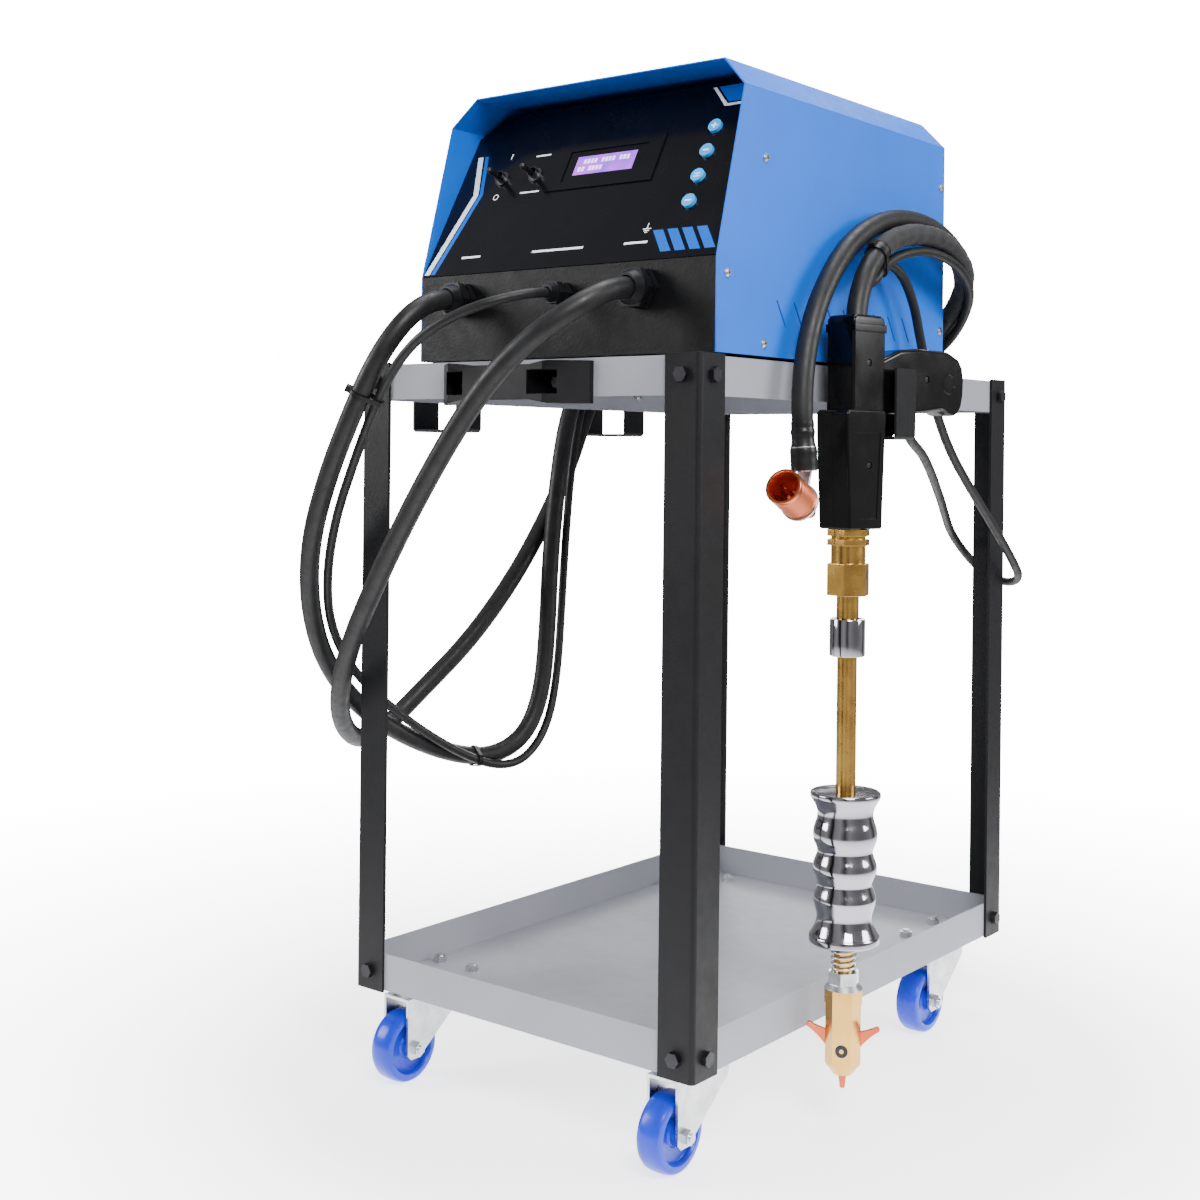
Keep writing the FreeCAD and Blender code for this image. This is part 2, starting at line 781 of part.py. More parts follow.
def make_cover():
    """Folded sheet cover: two sides, bevelled shoulders and a top, with a raked hood at the front."""
    body = new_body("cover")
    outside = new_sketch(body, "XZ", "-unit_back")
    add_loop(outside, cover_profile("0"))
    pad(body, outside, "unit_back - unit_front")
    inside = new_sketch(body, "XZ")
    add_loop(inside, cover_profile("cover_sheet"))
    pocket(body, inside)
    rake = new_sketch(body, "YZ")
    add_loop(rake, [
        ("unit_front", "unit_knee"),
        ("hood_front", "unit_high"),
        ("hood_front", "unit_high + 5"),
        ("unit_front - 5", "unit_high + 5"),
        ("unit_front - 5", "unit_knee"),
    ])
    pocket(body, rake)
    holes = new_sketch(body, "YZ")
    for y, z in SCREW_PLACES:
        add_circle(holes, y, z, "screw_radius + 0.2")
    pocket(body, holes)
    vents = new_sketch(body, "YZ")
    lean = "vent_length * sin(vent_lean)"
    rise = "vent_length * cos(vent_lean)"
    for k in range(10):
        foot = f"-179.5 + {k} * vent_pitch"
        add_loop(vents, [
            (foot, "793"), (f"{foot} + vent_width", "793"),
            (f"{foot} + vent_width - {lean}", f"793 + {rise}"), (f"{foot} - {lean}", f"793 + {rise}"),
        ])
    pocket(body, vents)
    place_on_trolley(body)
    node(body, "cover")


def make_chassis():
    """Folded chassis: floor, vertical lower front with gland holes, and back plate with the mains hole."""
    body = new_body("chassis")
    gap = "(cover_sheet + cover_gap)"
    left = f"unit_left + {gap}"
    right = f"unit_right - {gap}"
    side = new_sketch(body, "YZ", left)
    add_loop(side, [
        ("unit_front", "unit_low"), ("unit_back", "unit_low"), ("unit_back", f"unit_high - {gap}"),
        ("unit_back - chassis_sheet", f"unit_high - {gap}"), ("unit_back - chassis_sheet", "unit_low + chassis_sheet"),
        ("unit_front + chassis_sheet", "unit_low + chassis_sheet"), ("unit_front + chassis_sheet", "unit_knee"),
        ("unit_front", "unit_knee"),
    ])
    pad(body, side, f"({right}) - ({left})")
    shoulders = new_sketch(body, "XZ")
    slope = "unit_bevel + 1"
    for edge, into in ((left, 1), (right, -1)):
        add_loop(shoulders, [
            (f"{edge} - {into} * 1", f"unit_shoulder - 1"), (f"{edge} - {into} * 1", "unit_high + 3"),
            (f"{edge} + {into} * ({slope} + 3)", "unit_high + 3"),
        ])
    pocket(body, shoulders)
    front_holes = new_sketch(body, "XZ", "-(unit_front + chassis_sheet * 2)")
    for x, radius in (("main_gland_x", "weld_cable / 2 + 2.2"), ("earth_gland_x", "weld_cable / 2 + 2.2"),
                      ("signal_gland_x", "signal_cable / 2 + 2.2")):
        add_circle(front_holes, x, "gland_up", radius)
    pocket(body, front_holes, "chassis_sheet * 3", backwards=True)
    back_hole = new_sketch(body, "XZ", "-(unit_back - chassis_sheet * 2)")
    add_circle(back_hole, "mains_gland_x", "gland_up", "weld_cable / 2 + 2.2")
    pocket(body, back_hole, "chassis_sheet * 3")
    feet = new_sketch(body, "XY", "unit_low + chassis_sheet * 2")
    for x, y in FOOT_PLACES:
        add_circle(feet, x, y, SMALL_HOLE)
    pocket(body, feet, "chassis_sheet * 3")
    place_on_trolley(body)
    node(body, "chassis")


def make_feet():
    """Rubber pads between tray and chassis, each clamped by a bolt from below."""
    solids = []
    thick = size("unit_low - top_tray_high")
    for x, y in FOOT_PLACES:
        base = Vector(size(x), size(y), size("top_tray_high"))
        pad_solid = Part.makeCylinder(size("foot_radius"), thick, base)
        hole = Part.makeCylinder(size(SMALL_HOLE), thick + 2, base - Vector(0, 0, 1))
        solids.append(pad_solid.cut(hole).Solids[0])
        seat = Vector(size(x), size(y), size("top_tray_high - tray_sheet"))
        grip = thick + size("tray_sheet + chassis_sheet")
        solids += bolt_and_nut(seat, Vector(0, 0, -1), grip, size("small_bolt_radius"),
                               size("small_bolt_across"), size("small_bolt_head"), size("small_nut_height"))
    node(shaped("chassis_feet", Part.makeCompound(solids), trolley_placement()), "chassis_feet")


def make_cover_screws():
    """Pan-head screws in both sides of the cover."""
    solids = []
    for side, face in ((-1, "unit_left"), (1, "unit_right")):
        for y, z in SCREW_PLACES:
            seat = Vector(size(face), size(y), size(z))
            head = Part.makeCylinder(size("screw_head_radius"), 1, seat, Vector(side, 0, 0))
            dome = Part.makeCone(size("screw_head_radius"), size("screw_head_radius") - 2,
                                 size("screw_head_height") - 1, seat + Vector(side, 0, 0), Vector(side, 0, 0))
            shank = Part.makeCylinder(size("screw_radius"), 8, seat, Vector(-side, 0, 0))
            solids.append(head.fuse([dome, shank]).Solids[0])
    node(shaped("cover_screws", Part.makeCompound(solids), trolley_placement()), "cover_screws")


TOGGLE_TILT = 10.0
PANEL_HALF = "(unit_right - unit_left) / 2 - cover_sheet - panel_gap"
PANEL_MID = "(unit_right + unit_left) / 2"
BUTTON_NAMES = ("button_enter", "button_menu", "button_minus", "button_plus")


def panel_rectangle(x, up, width, height):
    return rectangle(f"{x} - ({width}) / 2", f"{up} - ({height}) / 2", f"{x} + ({width}) / 2", f"{up} + ({height}) / 2")


def make_panel():
    """Flat control panel, recessed under the hood, with openings for its fittings."""
    body = new_body("control_panel")
    face = new_sketch(body, "XZ")
    corner_up = "panel_length - unit_bevel - 2"
    low_x = f"{PANEL_MID} - ({PANEL_HALF})"
    high_x = f"{PANEL_MID} + ({PANEL_HALF})"
    add_loop(face, [
        (low_x, "1"), (high_x, "1"), (high_x, corner_up), (f"{high_x} - unit_bevel", "panel_length - 3"),
        (f"{low_x} + unit_bevel", "panel_length - 3"), (low_x, corner_up),
    ])
    pad(body, face, "panel_sheet", backwards=True)
    openings = new_sketch(body, "XZ")
    add_loop(openings, panel_rectangle("display_x", "display_up", "display_width", "display_height"))
    for k in range(len(BUTTON_NAMES)):
        add_circle(openings, "button_x", f"button_low + {k} * button_pitch", "button_radius + 0.4")
    for x in ("power_toggle_x", "mode_toggle_x"):
        add_circle(openings, x, "toggle_up", "6.2")
    pocket(body, openings)
    place_on_panel(body)
    node(body, "control_panel")


def make_display():
    """Display module: a raised bezel frame on the panel and the lit window inside it."""
    module = plain_box("display_module",
                       ("display_x - display_width / 2 + 0.3", "-0.5", "display_up - display_height / 2 + 0.3"),
                       ("display_x + display_width / 2 - 0.3", "9", "display_up + display_height / 2 - 0.3"))
    frame = plain_box("display_frame",
                      ("display_x - bezel_width / 2", "-1.5", "display_up - bezel_height / 2"),
                      ("display_x + bezel_width / 2", "0", "display_up + bezel_height / 2"))
    window = plain_box("display_window",
                       ("display_x - display_width / 2", "-3", "display_up - display_height / 2"),
                       ("display_x + display_width / 2", "1", "display_up + display_height / 2"))
    item = group("display", [module, cut("display_bezel", frame, window)])
    place_on_panel(item)
    node(item, "display")


def make_toggles():
    """Toggle switches: a body behind the panel with a bushing and nut, and a bat lever that rocks."""
    bodies = []
    for name, x in (("power_toggle", "power_toggle_x"), ("mode_toggle", "mode_toggle_x")):
        block = plain_box(f"{name}_block", (f"{x} - 7", "panel_sheet + 0.2", "toggle_up - 14"),
                          (f"{x} + 7", "24", "toggle_up + 14"))
        bush = plain_cylinder(f"{name}_bush", "5.9", "panel_sheet + 0.2 + 8", x, "-8", "toggle_up", Vector(0, 1, 0))
        ring = plain_cylinder(f"{name}_ring", "8.5", "2.2", x, "-2.2", "toggle_up", Vector(0, 1, 0))
        cavity = doc.addObject("Part::Cone", f"{name}_cavity")
        cavity.Placement = Placement(Vector(), Rotation(Vector(0, 0, 1), Vector(0, 1, 0)))
        cavity.Radius1 = 5.2
        cavity.Radius2 = 3.2
        cavity.Height = 14
        bind(cavity, "Placement.Base.x", x)
        bind(cavity, "Placement.Base.y", "-8.01")
        bind(cavity, "Placement.Base.z", "toggle_up")
        solid = fuse(f"{name}_solid", [block, bush, ring])
        bodies.append(cut(f"{name}_switch", solid, cavity))
        section = Part.makePolygon([
            Vector(0, 0, 0), Vector(2.0, 0, 0), Vector(2.3, -6, 0), Vector(3.4, -22, 0), Vector(3.0, -25, 0),
            Vector(1.4, -26.5, 0), Vector(0, -26.8, 0), Vector(0, 0, 0)])
        lever = Part.Face(section).revolve(Vector(), Vector(0, 1, 0), 360)
        lever.rotate(Vector(), Vector(1, 0, 0), TOGGLE_TILT)
        lever.translate(Vector(size(x), 1, size("toggle_up")))
        node(shaped(name, lever, panel_placement()), name)
    item = group("toggle_bodies", bodies)
    place_on_panel(item)
    node(item, "toggle_bodies")


def make_buttons():
    """Round push buttons that sit in the panel's holes and travel into it."""
    for k, name in enumerate(BUTTON_NAMES):
        up = f"button_low + {k} * button_pitch"
        cap = plain_cylinder(f"{name}_cap", "button_radius", "button_proud + panel_sheet + 1", "button_x",
                             "-button_proud", up, Vector(0, 1, 0))
        flange = plain_cylinder(f"{name}_flange", "button_radius + 1.5", "1", "button_x", "panel_sheet + 0.2", up,
                                Vector(0, 1, 0))
        item = fuse(name, [cap, flange])
        place_on_panel(item)
        node(item, name)


def make_board():
    """Control board behind the panel with its parts."""
    board = plain_box("board_sheet", ("display_x - 75", "28", "20"), ("button_x + 20", "29.6", "180"))
    relay = plain_box("board_relay", ("display_x - 60", "29.6", "40"), ("display_x - 30", "45", "60"))
    supply = plain_box("board_supply", ("display_x", "29.6", "30"), ("display_x + 40", "52", "70"))
    chip = plain_box("board_chip", ("display_x - 10", "29.6", "110"), ("display_x + 15", "33", "125"))
    item = fuse("control_board", [board, relay, supply, chip])
    place_on_panel(item)
    node(item, "control_board")


def make_transformer():
    """Welding transformer: laminated core with two windows, and coils round its middle limb."""
    body = new_body("transformer_core")
    half = "core_width / 2"
    high = "core_low + core_height"
    face = new_sketch(body, "XZ", "-core_y")
    add_loop(face, rectangle(f"core_x - {half}", "core_low", f"core_x + {half}", high))
    for side in (-1, 1):
        near = f"core_x + {side} * core_limb / 2"
        far = f"core_x + {side} * (core_limb / 2 + core_window)"
        low_x, high_x = (far, near) if side < 0 else (near, far)
        add_loop(face, rectangle(low_x, "core_low + core_limb / 2", high_x, f"{high} - core_limb / 2"))
    pad(body, face, "core_depth", symmetric=True)
    place_on_trolley(body)
    node(body, "transformer_core")
    coils = []
    reach = "core_limb / 2 + coil_thick"
    depth = "core_depth / 2 + coil_thick"
    for name, low in (("low_coil", "core_low + core_limb / 2 + 3"), ("high_coil", "core_low + core_limb / 2 + 53")):
        outer = plain_box(f"{name}_outer", (f"core_x - ({reach})", f"core_y - ({depth})", low),
                          (f"core_x + {reach}", f"core_y + {depth}", f"{low} + coil_height"))
        inner = plain_box(f"{name}_inner", ("core_x - core_limb / 2 - 0.5", "core_y - core_depth / 2 - 0.5", f"{low} - 1"),
                          ("core_x + core_limb / 2 + 0.5", "core_y + core_depth / 2 + 0.5", f"{low} + coil_height + 1"))
        coils.append(cut(name, outer, inner))
    item = group("transformer_coils", coils)
    place_on_trolley(item)
    node(item, "transformer_coils")


def make_gland(name, x, face, outward, cable, across):
    """Cable gland through a wall: locknut inside, hex body, hex cap and tapered nose round the cable."""
    bore = f"{cable} / 2"
    thread = f"{bore} + 2"
    blank = fuse(f"{name}_blank", [
        plain_cylinder(f"{name}_thread", thread, "chassis_sheet + 9", z="-chassis_sheet - 9"),
        hex_prism(f"{name}_hexagon", across, "7"),
        plain_cylinder(f"{name}_neck", f"{across} / 2 - 1.5", "3", z="7"),
        hex_prism(f"{name}_cap", across, "9", "10"),
        plain_cone(f"{name}_nose", f"{across} / 2 - 1", f"{bore} + 2.5", "gland_reach - 19", "19"),
    ])
    barrel = cut(f"{name}_barrel", blank, plain_cylinder(f"{name}_bore", f"{bore} + 0.02", "60", z="-30"))
    nut = cut(f"{name}_nut", hex_prism(f"{name}_nut_blank", across, "5", "-chassis_sheet - 5"),
              plain_cylinder(f"{name}_nut_bore", f"{thread} + 0.02", "8", z="-chassis_sheet - 6"))
    item = group(name, [barrel, nut])
    item.Placement = Placement(Vector(), Rotation(Vector(0, 0, 1), Vector(0, outward, 0)))
    place_on_trolley(item, x, face, "gland_up")
    node(item, name)


def make_power_unit():
    make_cover()
    make_chassis()
    make_feet()
    make_cover_screws()
    make_panel()
    make_display()
    make_toggles()
    make_buttons()
    make_board()
    make_transformer()
    make_gland("main_gland", "main_gland_x", "unit_front", -1, "weld_cable", 33)
    make_gland("signal_gland", "signal_gland_x", "unit_front", -1, "signal_cable", 21)
    make_gland("earth_gland", "earth_gland_x", "unit_front", -1, "weld_cable", 36)
    make_gland("mains_gland", "mains_gland_x", "unit_back", 1, "weld_cable", 33)


# ---------------------------------------------------------------- gun

LEAD_Y = "9"
BODY_OUTLINE = [
    ("-16", "808"), ("-16", "713"), ("-27", "711"), ("-26", "690"), ("-17", "nose_high"), ("26", "nose_high"),
    ("31", "694"), ("33", "712"), ("33", "808"),
]
GRIP_OUTLINE = [
    ("30", "711"), ("62", "711"), ("132", "718"), ("146", "711"), ("156", "712"), ("165", "724"), ("167", "750"),
    ("160", "769"), ("140", "778"), ("90", "779"), ("60", "776"), ("30", "764"),
]
GUARD_OUTLINE = [
    ("30", "700"), ("36", "689.3"), ("60", "689.3"), ("70", "702"), ("72", "714"), ("62", "714"), ("61", "702"),
    ("57", "692.8"), ("37.5", "692.8"), ("36", "714"), ("30", "714"),
]


def make_shell(name, side):
    """Half of the gun's moulded shell, split in the plane of the rod and the grip, hollow inside."""
    body = new_body(name)
    backwards = side < 0
    for outline, half in ((BODY_OUTLINE, "body_half"), (GRIP_OUTLINE, "grip_half"), (GUARD_OUTLINE, "guard_half")):
        sketch = new_sketch(body, "YZ")
        add_loop(sketch, outline)
        pad(body, sketch, half, backwards=backwards)
    body_room = new_sketch(body, "YZ")
    add_loop(body_room, [("-13", "805"), ("-13", "600"), ("23", "600"), ("28", "700"), ("28", "805")])
    pocket(body, body_room, "body_half - shell_wall", backwards=not backwards)
    grip_room = new_sketch(body, "YZ")
    add_loop(grip_room, [("28", "722"), ("132", "722"), ("160", "726"), ("160", "764"), ("60", "772"), ("28", "760")])
    pocket(body, grip_room, "grip_half - shell_wall", backwards=not backwards)
    slot = new_sketch(body, "YZ")
    add_loop(slot, rectangle("38.6", "704", "51.4", "724"))
    pocket(body, slot, "trigger_half + 0.4", backwards=not backwards)
    lead_hole = new_sketch(body, "XY", "809")
    add_circle(lead_hole, "0", LEAD_Y, "weld_cable / 2 + 3")
    pocket(body, lead_hole, "8")
    nose_hole = new_sketch(body, "XY", "595")
    add_circle(nose_hole, "0", "0", "10.3")
    pocket(body, nose_hole, "8", backwards=True)
    place_on_gun(body)
    return node(body, name)


def make_trigger():
    """Trigger that is squeezed towards the grip."""
    body = new_body("gun_trigger")
    sketch = new_sketch(body, "YZ")
    add_loop(sketch, [("39", "719"), ("39", "696.5"), ("42", "694.5"), ("47", "697"), ("51", "704"), ("51", "719")])
    pad(body, sketch, "2 * trigger_half", symmetric=True)
    place_on_gun(body)
    node(body, "gun_trigger")


def make_chuck():
    """Brass chuck: a stud up into the shell, a barrel for the two rings, a hex and a neck."""
    item = fuse("chuck", [
        plain_cylinder("chuck_barrel", "chuck_radius", "nose_high - chuck_shoulder", z="chuck_shoulder"),
        plain_cylinder("chuck_stud", "10", "90", z="nose_high - 1"),
        hex_prism("chuck_hexagon", "38.1", "chuck_shoulder - chuck_collar", "chuck_collar"),
        plain_cylinder("chuck_neck", "11", "chuck_collar - chuck_low", z="chuck_low"),
    ])
    place_on_gun(item)
    node(item, "chuck")


def make_nose_rings():
    """Two thin slotted hex rings on the chuck's barrel, against the shell."""
    rings = []
    slot_angles = (30, 150, 270)
    for bottom, height in ((590.2, 6.5), (581, 6)):
        ring = hexagon_solid(38.5, height, bottom).cut(Part.makeCylinder(17.02, 10, Vector(0, 0, bottom - 1)))
        for angle in slot_angles:
            slot = Part.makeBox(6, 4, height + 2, Vector(18.2, -2, bottom - 1))
            slot.rotate(Vector(), Vector(0, 0, 1), angle)
            ring = ring.cut(slot)
        rings.append(ring.Solids[0])
    node(shaped("nose_rings", Part.makeCompound(rings), gun_placement()), "nose_rings")


def make_pull_rod():
    rod = plain_cylinder("pull_rod", "rod_radius", "chuck_low - rod_end")
    place_on_gun_at(rod, "rod_end")
    node(rod, "pull_rod")


def place_on_gun_at(obj, z):
    place_on_gun(obj)
    bind(obj, "Placement.Base.z", z)


def make_stop_collar():
    outer = plain_cylinder("collar_blank", "collar_radius", "chuck_low - collar_low", z="collar_low")
    bore = plain_cylinder("collar_bore", "rod_radius + 0.02", "chuck_low - collar_low + 2", z="collar_low - 1")
    collar = cut("stop_collar", outer, bore)
    place_on_gun(collar)
    node(collar, "stop_collar")


# radius at each height down the hammer: flange, three grip bulges, flange
HAMMER_OUTLINE = [
    ("34.5", "hammer_high"), ("34.5", "hammer_high - 5"), ("31", "hammer_high - 11"), ("27.4", "hammer_high - 22"),
    ("28.3", "hammer_high - 28"), ("30.6", "hammer_high - 35"), ("31.6", "hammer_high - 42"),
    ("30.6", "hammer_high - 49"), ("28", "hammer_high - 55"), ("27.2", "hammer_high - 59"),
    ("28.5", "hammer_high - 64"), ("30.8", "hammer_high - 70"), ("31.5", "hammer_high - 75"),
    ("30.8", "hammer_high - 80"), ("28", "hammer_high - 87"), ("27", "hammer_high - 91"),
    ("28.2", "hammer_high - 96"), ("30.4", "hammer_high - 102"), ("31", "hammer_high - 106"),
    ("30", "hammer_high - 111"), ("27.2", "hammer_high - 122"), ("28.5", "hammer_high - 130"),
    ("31.5", "hammer_high - 138"), ("34.5", "hammer_high - 143"), ("34.8", "hammer_low + 2"), ("33", "hammer_low"),
]


def make_slide_hammer():
    """Turned hammer with a flange at each end and three grip bulges, free on the rod."""
    body = new_body("slide_hammer")
    section = new_sketch(body, "XZ")
    bore = "rod_radius + rod_gap"
    add_loop(section, [(bore, "hammer_high")] + HAMMER_OUTLINE + [(bore, "hammer_low")])
    turned = body.newObject("PartDesign::Revolution", "slide_hammer_turned")
    turned.Profile = section
    turned.ReferenceAxis = (section, ["V_Axis"])
    turned.Angle = 360
    doc.recompute()
    place_on_gun(body)
    node(body, "slide_hammer")


def make_spring():
    """Short return spring between the hammer and the lock nut, as a helix of eight-sided wire."""
    low = size("spring_low")
    wire = size("spring_wire")
    mean = 11.7
    height = size("hammer_low") - 0.3 - low - 4 * wire
    helix = Part.makeHelix(height / 4, height, mean)
    helix.translate(Vector(0, 0, low + 2 * wire))
    start = Vector(mean, 0, low + 2 * wire)
    corners = [start + Vector(math.cos(k * math.pi / 4), 0, math.sin(k * math.pi / 4)) * wire for k in range(9)]
    shape = Part.Wire(helix.Edges).makePipeShell([Part.makePolygon(corners)], True, True)
    node(shaped("hammer_spring", shape, gun_placement()), "hammer_spring")


def make_lock_nut():
    """Flanged hex nut that locks the tip holder on the rod."""
    blank = fuse("lock_nut_blank", [
        hex_prism("lock_nut_hexagon", "27.5", "12.5", "lock_nut_low + 4.5"),
        plain_cone("lock_nut_flange", "19", "15", "4.5", "lock_nut_low"),
    ])
    item = cut("lock_nut", blank, plain_cylinder("lock_nut_bore", "rod_radius + 0.02", "30", z="lock_nut_low - 2"))
    place_on_gun(item)
    node(item, "lock_nut")


def make_tip_holder():
    """Hexagonal brass fork that carries the star tip on a cross pin."""
    hexagon = doc.addObject("Part::Prism", "holder_hexagon")
    hexagon.Polygon = 6
    hexagon.Placement = Placement(Vector(), Rotation(Vector(0, 0, 1), 30))
    bind(hexagon, "Circumradius", "holder_across / 2 / cos(30)")
    bind(hexagon, "Height", "lock_nut_low - holder_low")
    bind(hexagon, "Placement.Base.z", "holder_low")
    envelope = fuse("holder_envelope", [
        plain_cone("holder_nose", "10", "40", "40", "holder_low"),
        plain_cylinder("holder_upper", "40", "lock_nut_low - holder_low", z="holder_low + 39"),
    ])
    blank = common("holder_blank", [hexagon, envelope])
    pin_start = "-(holder_across / 2 + 0.5)"
    along = Vector(1, 0, 0)
    tools = fuse("holder_tools", [
        plain_box("holder_slot", ("-star_slot / 2", "-30", "holder_low - 1"), ("star_slot / 2", "30", "holder_slot_high")),
        plain_cylinder("holder_rod_bore", "rod_radius + 0.02", "lock_nut_low - rod_end + 1", z="rod_end"),
        plain_cylinder("holder_pin_bore", "pin_radius + 0.02", "60", "-30", "0", "star_height", along),
    ])
    pin = plain_cylinder("holder_pin", "pin_radius", "holder_across + 1", pin_start, "0", "star_height", along)
    item = group("tip_holder", [cut("holder_fork", blank, tools), pin])
    place_on_gun(item, "holder_turn")
    node(item, "tip_holder")


def make_star_tip():
    """Copper star with three points, free to turn on the cross pin for a fresh point."""
    reach = size("star_reach")
    edges = []
    for k in range(3):
        angle = math.radians(-90 + 120 * k)
        tip = Vector(0, math.cos(angle), math.sin(angle))
        side = Vector(0, -math.sin(angle), math.cos(angle))
        next_angle = math.radians(-90 + 120 * (k + 1))
        next_tip = Vector(0, math.cos(next_angle), math.sin(next_angle))
        next_side = Vector(0, -math.sin(next_angle), math.cos(next_angle))
        hollow = (tip + next_tip).normalize() * 14
        edges.append(Part.Arc(tip * (reach - 1) - side * 2.6, tip * reach, tip * (reach - 1) + side * 2.6).toShape())
        edges.append(Part.Arc(tip * (reach - 1) + side * 2.6, hollow, next_tip * (reach - 1) - next_side * 2.6).toShape())
    face = Part.Face(Part.Wire(edges))
    plate = face.extrude(Vector(size("star_sheet"), 0, 0))
    plate.translate(Vector(-size("star_sheet") / 2, 0, 0))
    bore = Part.makeCylinder(size("pin_radius + running_gap"), 20, Vector(-10, 0, 0), Vector(1, 0, 0))
    plate = plate.cut(bore)
    plate.translate(Vector(0, 0, size("star_height")))
    node(shaped("star_tip", plate, gun_placement("holder_turn")), "star_tip")


def make_gun():
    make_shell("gun_shell_right", 1)
    make_shell("gun_shell_left", -1)
    make_trigger()
    make_chuck()
    make_nose_rings()
    make_pull_rod()
    make_stop_collar()
    make_slide_hammer()
    make_spring()
    make_lock_nut()
    make_tip_holder()
    make_star_tip()


# ---------------------------------------------------------------- cables

# points from the trolley's middle, so a cable keeps its place when the trolley is moved
MAIN_ROUTE = (
    (-97, -300, 825), (-97, -328, 825), (-100, -358, 814), (-109, -380, 791), (-127, -394, 755),
    (-160, -394, 703), (-204, -385, 640), (-248, -368, 571), (-282, -338, 501), (-300, -300, 436),
    (-299, -251, 381), (-283, -193, 341), (-260, -137, 315), (-239, -88, 307), (-224, -46, 328),
    (-220, -21, 376), (-223, -8, 450), (-228, 2, 540), (-230, 16, 631), (-234, 38, 712), (-236, 73, 770.8),
    (-227, 111, 797), (-205, 144, 803), (-173, 172, 792), (-135, 193, 776), (-88, 206, 771),
    (-36, 213, 771), (18, 214, 771.1), (71, 212, 771.4), (121, 208, 776), (162, 201, 793), (198, 191, 817),
    (226, 176, 841), (246, 155, 865), (256, 124, 884), (259, 87, 898), (257, 44, 904), (255, 0, 901),
    (252, -40, 887), (252, -73, 862), (253, -94, 833), (255, -105, 801), (257, -104, 770.9),
)
EARTH_ROUTE = (
    (135, -300, 825), (135, -328, 825), (129, -358, 815), (114, -382, 798), (84, -398, 775),
    (39, -405, 737), (-14, -401, 682), (-74, -391, 614), (-137, -376, 539), (-197, -357, 467),
    (-244, -329, 405), (-278, -290, 362), (-302, -240, 338), (-312, -191, 348), (-298, -146, 388),
    (-269, -95, 445), (-254, -34, 517), (-251, 24, 592), (-249, 66, 660), (-251, 96, 720),
    (-248, 125, 772.8), (-240, 156, 798), (-219, 191, 806), (-186, 214, 798), (-143, 233, 782),
    (-92, 242, 771.9), (-35, 245, 771.3), (23, 246, 771), (80, 245, 770.9), (133, 240, 779),
    (178, 231, 803), (210, 214, 835), (231, 184, 869), (240, 145, 896), (242, 98, 914), (240, 49, 921),
    (239, -1, 918), (239, -49, 904), (239, -91, 882), (240, -126, 851), (240, -154, 815), (240, -172, 775),
    (241, -181, 733), (243, -183, 697), (244, -181, 664),
)
SIGNAL_ROUTE = (
    (38, -300, 825), (38, -328, 825), (24, -356, 819), (2, -378, 810), (-30, -391, 797), (-67, -395, 778),
    (-106, -390, 748), (-146, -378, 706), (-187, -364, 655), (-228, -350, 598), (-262, -331, 538),
    (-283, -308, 480), (-290, -271, 428), (-282, -229, 387), (-265, -182, 348), (-241, -136, 316),
    (-224, -92, 298), (-216, -52, 303), (-213, -17, 338), (-218, 6, 397), (-226, 22, 474), (-230, 33, 559),
    (-231, 43, 643), (-237, 65, 713), (-244, 96, 766.2), (-239, 124, 794), (-215, 157, 801),
    (-183, 192, 789), (-140, 212, 774), (-91, 223, 765.4), (-38, 229, 765.5), (16, 231, 765.5),
    (70, 228, 765.3), (122, 224, 768.4), (169, 212, 781), (207, 196, 802), (235, 176, 827), (255, 151, 850),
    (262, 120, 869), (263, 81, 882), (259, 41, 887), (256, 2, 882), (252, -30, 871), (252, -48, 859),
    (252, -64, 845), (243, -68, 841), (233, -64, 845), (232, -48, 857), (236, -30, 869), (241, -6, 870),
    (243, 18, 857), (243, 40, 831), (242, 56, 797), (242, 73, 759), (242, 96, 716), (239, 136, 674),
    (240, 187, 632), (242, 242, 589), (242, 295, 548), (237, 330, 523), (208, 349, 515), (176, 346, 530),
    (165, 317, 557), (168, 280, 580), (182, 239, 600), (201, 191, 618), (221, 142, 631), (241, 88, 651),
    (256, 38, 672), (265, -2, 683), (269, -25, 695), (269, -36, 713),
)

TIE_SHEET = 1.3
TIE_WIDTH = 4.8
# a tie's place on the main cable, the cables' shared direction there and where it meets the signal cable
TIES = (
    ((-144.1, -394.0, 728.0), (-0.536, 0.0, -0.844), (-132.6, -382.0, 720.0)),
    ((-249.3, -112.0, 310.9), (0.39, 0.909, -0.148), (-234.1, -118.2, 308.7)),
    ((252.0, -56.8, 874.3), (0.0, -0.797, -0.604), (252.0, -46.1, 860.1)),
)


